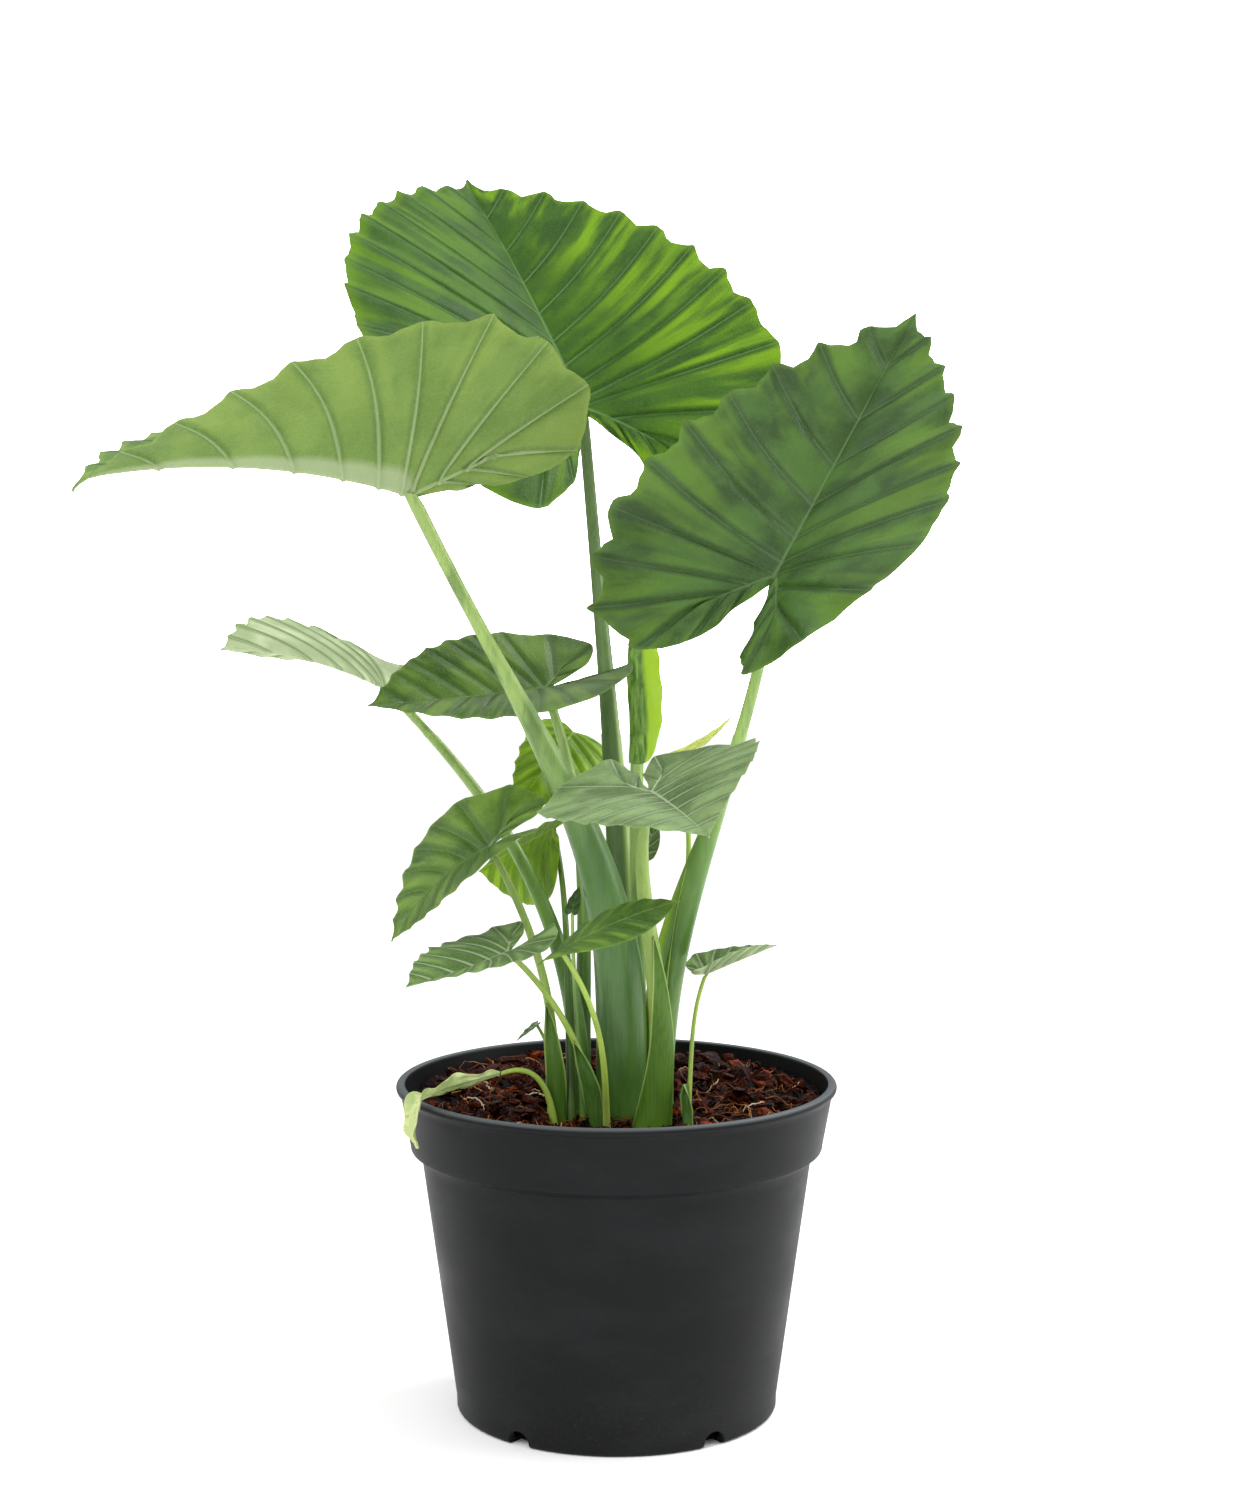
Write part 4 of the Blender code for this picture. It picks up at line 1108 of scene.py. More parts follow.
@dataclass
class FurledLeaf:
    """The newest leaf: a tapered roll on its own stalk, with one loose edge standing off it."""

    stalk: Stalk
    top: tuple = (11, 26, 556)
    radius: float = 4.6
    margin: float = 13.5
    margin_thickness: float = 0.9
    # Where the roll's outline starts and ends round its axis, in degrees
    rolled: tuple = (14.0, 346.0)
    sides: int = 33
    rings: int = 90

    def build(self) -> None:
        """Make the stalk and the rolled blade."""
        self.stalk.build("furled", GREEN_STALK, np.array((0.0, 0.0, 1.0)), 0.0)
        lower, upper = np.asarray(self.stalk.neck, float), np.asarray(self.top, float)
        steps = np.linspace(0.0, 1.0, self.rings)
        turns = np.radians(np.linspace(*self.rolled, self.sides))
        outward = (0.25, 0.5, 0.75, 1.0)
        rings, share = [], []
        for step in steps:
            centre = lower + (upper - lower) * step + np.array((0, 0, CLEARANCE)) * (1 - step)
            centre = centre + np.array((0.8 * math.sin(9 * step), 0.6 * math.sin(7 * step + 1), 0))
            radius = self.radius * (1 - step ** 3) + 0.6
            # Pleats wind slowly round the roll, and an overlap step runs up its front
            pleats = 0.05 * np.sin(7 * turns + 5 * step) + 0.03 * np.sin(38 * step + 2 * turns)
            fold = 0.10 * np.clip(np.sin(turns * 0.5 + 0.6), 0, 1) ** 8
            body = radius * (1 + pleats + fold)
            ring = [(r * math.cos(a), r * math.sin(a), 0.0) for r, a in zip(body, turns)]
            wide = self.margin * max(0.0, math.sin(math.pi * min(1, step * 1.05))) ** 0.6
            half = 0.5 * self.margin_thickness
            wavy = [1.1 * math.sin(21 * step + 2 * f) * f for f in outward]
            reach = [radius + 0.6 + wide * f + 0.5 * f * math.sin(33 * step) for f in outward]
            under = [(x, w - half, 0.4 * math.sin(15 * step)) for x, w in zip(reach, wavy)]
            over = [(x, w + half, 0.4 * math.sin(15 * step)) for x, w in zip(reach, wavy)]
            rings.append(centre + np.asarray(ring + under + over[::-1]))
            share.append([0.0] * len(ring) + list(outward) + list(outward[::-1]))
        points = np.vstack(rings)
        count = len(rings[0])
        faces = ring_faces(self.rings - 1, count)
        last = (self.rings - 1) * count
        centres = np.vstack([ring[:self.sides].mean(0) for ring in (rings[0], rings[-1])])
        points = np.vstack([points, centres])
        faces += [[len(points) - 2, (k + 1) % count, k] for k in range(count)]
        faces += [[len(points) - 1, last + k, last + (k + 1) % count] for k in range(count)]
        numbers = {"share": np.r_[np.ravel(share), 0.0, 0.0]}
        add_piece("leaf_furled", points, faces, [FurledSkin().dress()], numbers,
                  replaced=("blade_furled",), sharp=50.0)


@dataclass
class WitheredLeaf:
    """A spent leaf: a limp ribbon that bends over the rim and hangs down outside the pot."""

    stalk: Stalk
    route: tuple = (
        (-76, -78.5, 246), (-98, -82, 241), (-117, -86, 235), (-128, -90, 230.5),
        (-132, -93, 221), (-131, -95, 210), (-129, -97, 201),
    )
    half_widths: tuple = (1.5, 5.0, 7.5, 8.5, 9.0, 6.5, 0.8)
    across: tuple = ((0.1, -0.55, 0.8), (0.55, -0.83, 0.0))
    route_steps: int = 10
    rows: int = 90
    columns: int = 22
    crumple: float = 1.6
    thickness: float = 0.9

    def build(self) -> None:
        """Make the limp stalk and the ribbon of blade."""
        self.stalk.build("withered", LIME_STALK, np.array((-1.0, 0.0, 0.0)), 0.0, "withered_green")
        steps = np.linspace(0.0, 1.0, self.rows + 1)
        route = point_along(smooth_curve(self.route, self.route_steps), steps)
        knots = smooth_curve([[w] for w in self.half_widths], self.route_steps)[:, 0]
        widths = np.interp(steps, np.linspace(0, 1, len(knots)), knots).clip(0.4)
        widths = widths * (1 + 0.06 * np.sin(31 * steps) + 0.05 * np.sin(17 * steps + 2))
        turn = np.clip((steps - 0.35) / 0.35, 0, 1)[:, None]
        sides = unit((1 - turn) * np.asarray(self.across[0]) + turn * np.asarray(self.across[1]))
        normals = unit(np.cross(np.gradient(route, axis=0), sides))
        share = np.linspace(-1.0, 1.0, self.columns + 1)
        crumple = self.crumple * np.sin(steps * 23.0)[:, None] * share[None] ** 2
        crumple = crumple + 0.5 * np.sin(steps[:, None] * 47 + 5 * share[None]) * share[None]
        folds = 0.55 * np.sin(share[None] * 9 + 3 * np.sin(steps[:, None] * 6))
        trough = 0.35 * widths[:, None] * share[None] ** 2
        lift = crumple + trough + folds
        grid = (route[:, None] + sides[:, None] * (widths[:, None] * share[None])[..., None]
                + normals[:, None] * lift[..., None])
        half = 0.5 * self.thickness * (1 - 0.4 * np.abs(share[None]) ** 4)
        along = np.broadcast_to(steps[:, None], grid.shape[:2])
        add_thin_sheet("leaf_withered", grid, half, {"along": along}, False, WitheredSkin(),
                       ("blade_withered",))


@dataclass
class Sheath:
    """The open, pointed wrap at the foot of a stalk, which holds the next stalk inside it."""

    name: str
    stalk: Stalk
    bottom: float
    top: float
    facing: float
    spread: float
    gap: float
    skin: SheathSkin
    flare: float = 1.5
    ripple: float = 0.25
    rows: int = 46
    columns: int = 26
    thickness: float = 0.9

    def build(self) -> None:
        """Make the wrap as a thin closed sheet round the stalk."""
        steps = np.linspace(0.0, 1.0, self.rows + 1)
        path, radii = self.stalk.path(self.bottom + (self.top - self.bottom) * steps)
        share = np.linspace(-1.0, 1.0, self.columns + 1)
        width = np.radians(self.spread) * (1 - steps ** 1.15) ** 0.95 + 0.02
        angle = math.radians(self.facing) + width[:, None] * share[None]
        edge = self.flare * np.abs(share[None]) ** 5 * (0.3 + steps[:, None])
        reach = (radii + self.gap)[:, None] + edge
        reach = reach + self.ripple * np.sin(14 * steps[:, None] + 2 * share[None])
        ring = np.stack([reach * np.cos(angle), reach * np.sin(angle), 0 * reach], axis=-1)
        grid = path[:, None] + ring
        half = 0.5 * self.thickness * (1 - 0.6 * np.abs(share[None]) ** 3)
        rim = np.broadcast_to(np.abs(share[None]), grid.shape[:2])
        add_thin_sheet(f"sheath_{self.name}", grid, half, {"share": rim}, True, self.skin)


def turned_mesh(profile: list, segments: int) -> bmesh.types.BMesh:
    """Return a closed turned body in metres from radius and height in millimetres.

    Args:
        profile: points that start and end on the axis.
        segments: how many sides the body has.

    Returns:
        The body, which the caller frees.
    """
    body = bmesh.new()
    rings = []
    for radius, height in profile:
        if radius == 0.0:
            rings.append([body.verts.new((0.0, 0.0, height * MM))])
            continue
        turns = (2 * math.pi * k / segments for k in range(segments))
        rings.append([body.verts.new((radius * math.cos(a) * MM, radius * math.sin(a) * MM,
                                      height * MM)) for a in turns])
    for lower, upper in zip(rings, rings[1:]):
        for k in range(segments):
            after = (k + 1) % segments
            if len(lower) == 1:
                body.faces.new((lower[0], upper[after], upper[k]))
            elif len(upper) == 1:
                body.faces.new((lower[k], lower[after], upper[0]))
            else:
                body.faces.new((lower[k], lower[after], upper[after], upper[k]))
    bmesh.ops.recalc_face_normals(body, faces=body.faces)
    return body


@dataclass
class Pot:
    """The nursery pot: a thin turned wall with a collar, a beaded lip and drain holes."""

    height: float = 226.0
    wall: float = 2.2
    lip_radius: float = 150.0
    collar_top_radius: float = 146.9
    collar_foot_radius: float = 140.4
    collar_height: float = 44.0
    body_top_radius: float = 132.6
    body_foot_radius: float = 109.8
    foot_radius: float = 105.5
    foot_curve: float = 4.2
    bead: float = 2.9
    drains: int = 5
    first_drain: float = -54.0
    drain_radius: float = 8.5
    drain_depth: float = 24.0
    drain_centre_height: float = 2.0
    segments: int = 192
    sharp: float = 38.0

    def outer_profile(self) -> list:
        """Return the outside from the centre of the underside to the top of the lip."""
        collar_foot = self.height - self.collar_height
        body, low, high = self.body_top_radius, self.collar_foot_radius, self.collar_top_radius
        corner = [(self.foot_radius + self.foot_curve * math.sin(a), 3.4 - 3.4 * math.cos(a))
                  for a in np.radians(np.linspace(0, 80, 7))]
        bead = [(self.lip_radius - self.bead + self.bead * math.cos(a),
                 self.height - 3.2 + 3.0 * math.sin(a))
                for a in np.radians(np.linspace(-75, 90, 12))]
        step = [(body + 1.0 + 1.0 * k, collar_foot - 5.2 + 0.35 * k * k) for k in range(3)]
        return [
            (0.0, 1.2), (60.0, 1.2), (78.0, 1.2), (80.0, 0.0), *corner,
            (self.body_foot_radius, 10.0), (self.body_foot_radius + 0.5, 13.0),
            (body - 0.6, collar_foot - 12.0), (body, collar_foot - 7.0), *step,
            (low - 1.8, collar_foot - 1.6), (low - 0.5, collar_foot - 1.0),
            (low, collar_foot + 0.4), (low + 0.3, collar_foot + 3.0),
            (high - 0.4, self.height - 9.5), (high, self.height - 7.0), *bead,
        ]

    def inner_profile(self) -> list:
        """Return the inside from the lip down to the floor."""
        collar_foot = self.height - self.collar_height
        return [
            (self.collar_top_radius - 0.5 - self.wall, self.height - 0.8),
            (self.collar_foot_radius - self.wall, collar_foot + 1.0),
            (self.body_top_radius - self.wall, collar_foot - 5.0),
            (self.body_foot_radius - self.wall, 10.0),
            (self.foot_radius - self.wall, self.wall + 1.4),
            (self.foot_radius - self.wall - 4.0, self.wall),
            (0.0, self.wall),
        ]

    def build(self) -> None:
        """Make the pot and cut its drain holes."""
        body = turned_mesh(self.outer_profile() + self.inner_profile(), self.segments)
        mesh = bpy.data.meshes.new("nursery_pot")
        body.to_mesh(mesh)
        body.free()
        pot = add_object("nursery_pot", mesh)
        drills = [self.add_drill(pot, self.first_drain + 360.0 / self.drains * step)
                  for step in range(self.drains)]
        seen = pot.evaluated_get(bpy.context.evaluated_depsgraph_get())
        cut = bpy.data.meshes.new_from_object(seen)
        pot.modifiers.clear()
        pot.data = cut
        for drill in drills:
            bpy.data.objects.remove(drill, do_unlink=True)
        cut.materials.clear()
        cut.materials.append(BlackPlastic().dress())
        cut.shade_smooth()
        cut.set_sharp_from_angle(angle=math.radians(self.sharp))
        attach(pot, BODY)
        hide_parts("pot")
        LOG.info("nursery_pot: %d faces", len(cut.polygons))

    def add_drill(self, pot: bpy.types.Object, angle: float) -> bpy.types.Object:
        """Add the cut of one drain hole to the pot.

        Args:
            pot: the pot without its holes.
            angle: where the hole is round the foot, in degrees.

        Returns:
            The body that is cut away, for the caller to remove.
        """
        drill = bmesh.new()
        bmesh.ops.create_cone(drill, cap_ends=True, segments=32, radius1=self.drain_radius * MM,
                              radius2=self.drain_radius * MM, depth=self.drain_depth * MM)
        mesh = bpy.data.meshes.new("drill")
        drill.to_mesh(mesh)
        drill.free()
        cutter = add_object("drill", mesh)
        reach = (self.body_foot_radius - 2.0) * MM
        turn = math.radians(angle)
        height = self.drain_centre_height * MM
        cutter.location = (reach * math.cos(turn), reach * math.sin(turn), height)
        cutter.rotation_euler = (0.0, math.pi / 2, turn)
        cut = pot.modifiers.new("drain", "BOOLEAN")
        cut.operation = "DIFFERENCE"
        cut.solver = "EXACT"
        cut.object = cutter
        return cutter


@dataclass
class CoirFill:
    """The coir that fills the pot: an uneven bed, loose chips and fibres on it, and thin roots."""

    level: float = 212.0
    slope: float = 0.045
    bump: float = 2.6
    radius: float = 141.5
    rings: int = 62
    sectors: int = 168
    # Radius and height of the bed's side and foot, inside the pot's wall
    wall: tuple = ((137.4, 184.0), (129.6, 176.0), (107.0, 10.5), (98.0, 2.6))
    chips: int = 1350
    large_chips: int = 260
    chip_reach: float = 137.5
    chip_edge: float = 140.5
    chip_top: float = 224.0
    fibres: int = 420
    fibre_reach: float = 128.0
    fibre_edge: float = 137.0
    fibre_steps: int = 9
    root_lift: float = 3.4
    strand_sides: int = 5
    seed: int = 5

    def height(self, x: float, y: float) -> float:
        """Return the height of the bed at a place."""
        bumps = (math.sin(x / 9.0 + 1.3 * math.sin(y / 13.0)) * math.cos(y / 7.5 + x / 31.0)
                 + 0.5 * math.sin(x / 4.7 - y / 6.1 + 0.7))
        fine = noise.fractal(Vector((x / 7.0, y / 7.0, 3.3)), 0.9, 2.1, 4)
        return self.level + self.slope * y + self.bump * bumps / 1.5 + 2.2 * fine

    def scattered(self, draw: np.random.Generator, widest: float) -> tuple[float, float, float]:
        """Return a drawn place on the bed, and how far it is from the middle."""
        turn = draw.uniform(0, 2 * math.pi)
        reach = widest * math.sqrt(draw.uniform(0, 1))
        return reach * math.cos(turn), reach * math.sin(turn), reach

    def build(self, stalks: list[Stalk]) -> None:
        """Make the bed, its chips, its fibres and the roots.

        Args:
            stalks: the stalks that stand in the coir, which the chips keep clear of.
        """
        self.build_bed()
        draw = np.random.default_rng(self.seed)
        self.build_chips(draw, stalks)
        self.build_fibres(draw)
        self.build_roots(draw)

    def build_bed(self) -> None:
        """Make the bed as a closed body that fills the pot below its uneven top."""
        rings, sectors = self.rings, self.sectors
        radii = self.radius * np.linspace(0, 1, rings + 1)[1:] ** 0.85
        turns = np.arange(sectors) / sectors * 2 * math.pi
        points = [(0.0, 0.0, self.height(0.0, 0.0))]
        for radius in radii:
            for turn in turns:
                x, y = radius * math.cos(turn), radius * math.sin(turn)
                points.append((x, y, self.height(x, y)))
        for radius, height in self.wall:
            points += [(radius * math.cos(t), radius * math.sin(t), height) for t in turns]
        faces = [[0, 1 + k, 1 + (k + 1) % sectors] for k in range(sectors)]
        for row in range(rings - 1 + len(self.wall)):
            a = 1 + row * sectors
            for k in range(sectors):
                after = (k + 1) % sectors
                faces.append([a + k, a + sectors + k, a + sectors + after, a + after])
        a = len(points) - sectors
        points.append((0.0, 0.0, self.wall[-1][1]))
        faces += [[a + k, len(points) - 1, a + (k + 1) % sectors] for k in range(sectors)]
        tone = [0.25 + 0.5 * noise.noise(Vector(p) / 5.0) for p in points]
        add_piece("coir_bed", np.array(points), faces, [COIR_BED.dress()],
                  {"tone": np.clip(tone, 0, 1)}, replaced=("soil",))

    def build_chips(self, draw: np.random.Generator, stalks: list[Stalk]) -> None:
        """Scatter husk chips over the bed, larger ones first, lying at all angles.

        Args:
            draw: the seeded source of chance.
            stalks: the stalks that the chips keep clear of.
        """
        base = bmesh.new()
        bmesh.ops.create_icosphere(base, subdivisions=2, radius=1.0)
        ball = np.array([v.co[:] for v in base.verts])
        triangles = [[v.index for v in face.verts] for face in base.faces]
        base.free()
        feet = []
        for stalk in stalks:
            path, radii = stalk.path(np.linspace(0, 1, 60))
            near = int(np.argmin(np.abs(path[:, 2] - self.level)))
            feet.append((path[near, 0], path[near, 1], radii[near]))
        points, faces, tone = [], [], []
        count = 0
        for index in range(self.chips):
            x, y, reach = self.scattered(draw, self.chip_reach)
            larger = 1.7 if index < self.large_chips else 1.0
            size = 2.4 + 6.4 * draw.uniform(0, 1) ** 2.4 * larger
            long, flat = draw.uniform(1.0, 2.2), draw.uniform(0.35, 0.8)
            if reach + 0.8 * size * long > self.chip_edge:
                continue
            if any(math.hypot(x - fx, y - fy) < fr + 0.55 * size for fx, fy, fr in feet):
                continue
            sides = np.array((size * long, size, size * flat))
            shape = np.sign(ball) * np.abs(ball) ** 0.75 * sides * 0.5
            rough = [noise.noise(Vector(p) * 0.75 + Vector((index * 7.1, 0, 0))) for p in shape]
            shape = shape * (1 + 0.85 * np.array(rough)[:, None])
            spin = draw.uniform(0, 2 * math.pi)
            lean, roll = draw.normal(0, 0.5), draw.normal(0, 0.5)
            for angle, first, second in ((roll, 1, 2), (lean, 2, 0), (spin, 0, 1)):
                shape = shape @ turning(angle, first, second)
            sink = draw.uniform(-0.1, 0.75) * size * flat
            shape = shape + (x, y, self.height(x, y) + sink)
            shape[:, 2] = np.minimum(shape[:, 2], self.chip_top)
            points.append(shape)
            faces += [[count + c for c in corners] for corners in triangles]
            tone += [float(draw.beta(1.4, 2.0))] * len(shape)
            count += len(shape)
        add_piece("coir_chips", np.vstack(points), faces, [COIR_CHIP.dress()],
                  {"tone": np.array(tone)}, sharp=35.0)

    def add_strands(self, name: str, strands: list, skin: Coir) -> None:
        """Make thin round strands as one piece.

        Args:
            name: the piece's name.
            strands: for each its points, its thickest radius and its tone.
            skin: the finish.
        """
        sides = self.strand_sides
        turns = np.arange(sides) / sides * 2 * math.pi
        points, faces, tones = [], [], []
        count = 0
        for path, radius, tone in strands:
            tangents = unit(np.gradient(path, axis=0))
            first = unit(np.cross(tangents, (0.31, 0.17, 0.94)))
            second = np.cross(tangents, first)
            fade = radius * (1 - np.linspace(0, 1, len(path)) ** 3 * 0.8)[:, None]
            rings = (path[:, None] + (fade * np.cos(turns))[..., None] * first[:, None]
                     + (fade * np.sin(turns))[..., None] * second[:, None])
            points.append(rings.reshape(-1, 3))
            faces += ring_faces(len(path) - 1, sides, count)
            faces.append([count + k for k in range(sides)][::-1])
            faces.append([count + (len(path) - 1) * sides + k for k in range(sides)])
            tones += [tone] * (len(path) * sides)
            count += len(path) * sides
        add_piece(name, np.vstack(points), faces, [skin.dress()],
                  {"tone": np.array(tones)})

    def build_fibres(self, draw: np.random.Generator) -> None:
        """Scatter husk fibres that curl over the chips."""
        strands = []
        for _ in range(self.fibres):
            x, y, _ = self.scattered(draw, self.fibre_reach)
            length, heading = draw.uniform(9, 34), draw.uniform(0, 2 * math.pi)
            bend, rise = draw.normal(0, 1.5), draw.uniform(0.5, 5.0)
            steps = np.linspace(0, 1, self.fibre_steps)
            angles = heading + bend * steps
            xs = x + np.cumsum(np.cos(angles)) * length / self.fibre_steps
            ys = y + np.cumsum(np.sin(angles)) * length / self.fibre_steps
            if np.hypot(xs, ys).max() > self.fibre_edge:
                continue
            zs = [self.height(a, b) + 1.2 + rise * math.sin(math.pi * s)
                  for a, b, s in zip(xs, ys, steps)]
            strands.append((np.stack([xs, ys, zs], axis=-1), draw.uniform(0.16, 0.42),
                            float(draw.uniform(0, 1))))
        self.add_strands("coir_fibres", strands, COIR_FIBRE)

    def build_roots(self, draw: np.random.Generator) -> None:
        """Lay the few pale roots that show on the coir."""
        routes = (
            ((74, 60), (70, 30), (62, 12)), ((60, 62), (68, 52), (76, 44)),
            ((-62, -8), (-50, -2), (-40, -10)), ((-58, 6), (-50, -4), (-44, -18)),
            ((-96, 40), (-88, 22), (-84, 4)), ((100, -20), (90, -34), (84, -52)),
            ((58, -64), (66, -76), (70, -92)), ((-104, -10), (-92, -26), (-88, -44)),
            ((30, 70), (44, 62), (52, 66)), ((-60, -72), (-70, -84), (-66, -98)),
        )
        strands = []
        for route in routes:
            path = smooth_curve(np.array(route, float), 8)
            path = path + draw.normal(0, 0.5, path.shape)
            heights = [self.height(x, y) + self.root_lift + 1.5 * math.sin(3.1 * i / len(path))
                       for i, (x, y) in enumerate(path)]
            strands.append((np.column_stack([path, heights]), draw.uniform(0.35, 0.6),
                            float(draw.uniform(0.3, 1.0))))
        self.add_strands("young_roots", strands, ROOT_SKIN)


@dataclass
class Studio:
    """A pale floor, soft lights and the camera that the photograph was taken from."""

    distance: float = 1.75
    eye_height: float = 0.597
    pitch: float = 4.76
    focal_pixels: float = 2600.0
    picture_height: float = 1500.0
    sensor: float = 36.0
    dark_below: float = -0.1
    side_light: float = 0.2
    top_light: float = 1.3
    floor_size: float = 6.0
    # Name, place, the height on the plant's axis that it faces, side in metres, and watts
    softboxes: tuple = (
        ("key", (-1.3, -1.5, 2.1), 0.45, 1.0, 30.0),
        ("back", (1.5, 0.9, 2.1), 0.6, 1.3, 44.0),
        ("side", (1.9, -0.2, 1.0), 0.5, 1.0, 16.0),
        # Low and in front, so that the upright stalks and the pot show a soft long highlight
        ("front", (-0.8, -2.3, 0.7), 0.35, 0.6, 9.0),
    )

    def build(self) -> None:
        """Make the floor, the camera, the lights and the pale surroundings."""
        mesh = bpy.data.meshes.new("floor")
        size = self.floor_size
        corners = [(-size, -size, 0), (size, -size, 0), (size, size, 0), (-size, size, 0)]
        mesh.from_pydata(corners, [], [(0, 1, 2, 3)])
        mesh.materials.append(PaleFloor().dress())
        floor = add_object("floor", mesh)

        camera = bpy.data.cameras.new("camera")
        camera.sensor_width = self.sensor
        camera.sensor_fit = "AUTO"
        camera.lens = self.focal_pixels / self.picture_height * self.sensor
        eye = add_object("camera", camera)
        eye.location = (0.0, -self.distance, self.eye_height)
        eye.rotation_euler = (math.radians(90.0 - self.pitch), 0.0, 0.0)
        bpy.context.scene.camera = eye

        for softbox in self.softboxes:
            self.add_softbox(*softbox)
        world = bpy.data.worlds.new("pale_room")
        bpy.context.scene.world = world
        world.use_nodes = True
        # White behind the plant; the light comes mostly from overhead, and little from the sides
        tree = world.node_tree
        put = partial(add, tree)
        height = put(Node.HEIGHT, put(Node.WAY))
        light = put(Node.STEP, height, self.dark_below, 0.85, self.side_light, self.top_light)
        behind = put(Node.STEP, put(Node.SEEN), 0.4, 0.6, 0.0, 1.0)
        strength = put(Node.PLUS, put(Node.TIMES, behind, 4.0), light)
        tree.links.new(strength, tree.nodes["Background"].inputs["Strength"])
        tree.nodes["Background"].inputs["Color"].default_value = (1.0, 1.0, 1.0, 1.0)
        bpy.context.scene.view_settings.view_transform = "Standard"

    def add_softbox(self, name: str, place: tuple, aim: float, size: float, power: float) -> None:
        """Add a square soft light that faces the plant's axis at the height aim."""
        light = bpy.data.lights.new(name, "AREA")
        light.shape = "SQUARE"
        light.size = size
        light.energy = power
        lamp = add_object(name, light)
        lamp.location = place
        toward = Vector((0.0, 0.0, aim)) - Vector(place)
        lamp.rotation_euler = toward.to_track_quat("-Z", "Y").to_euler()


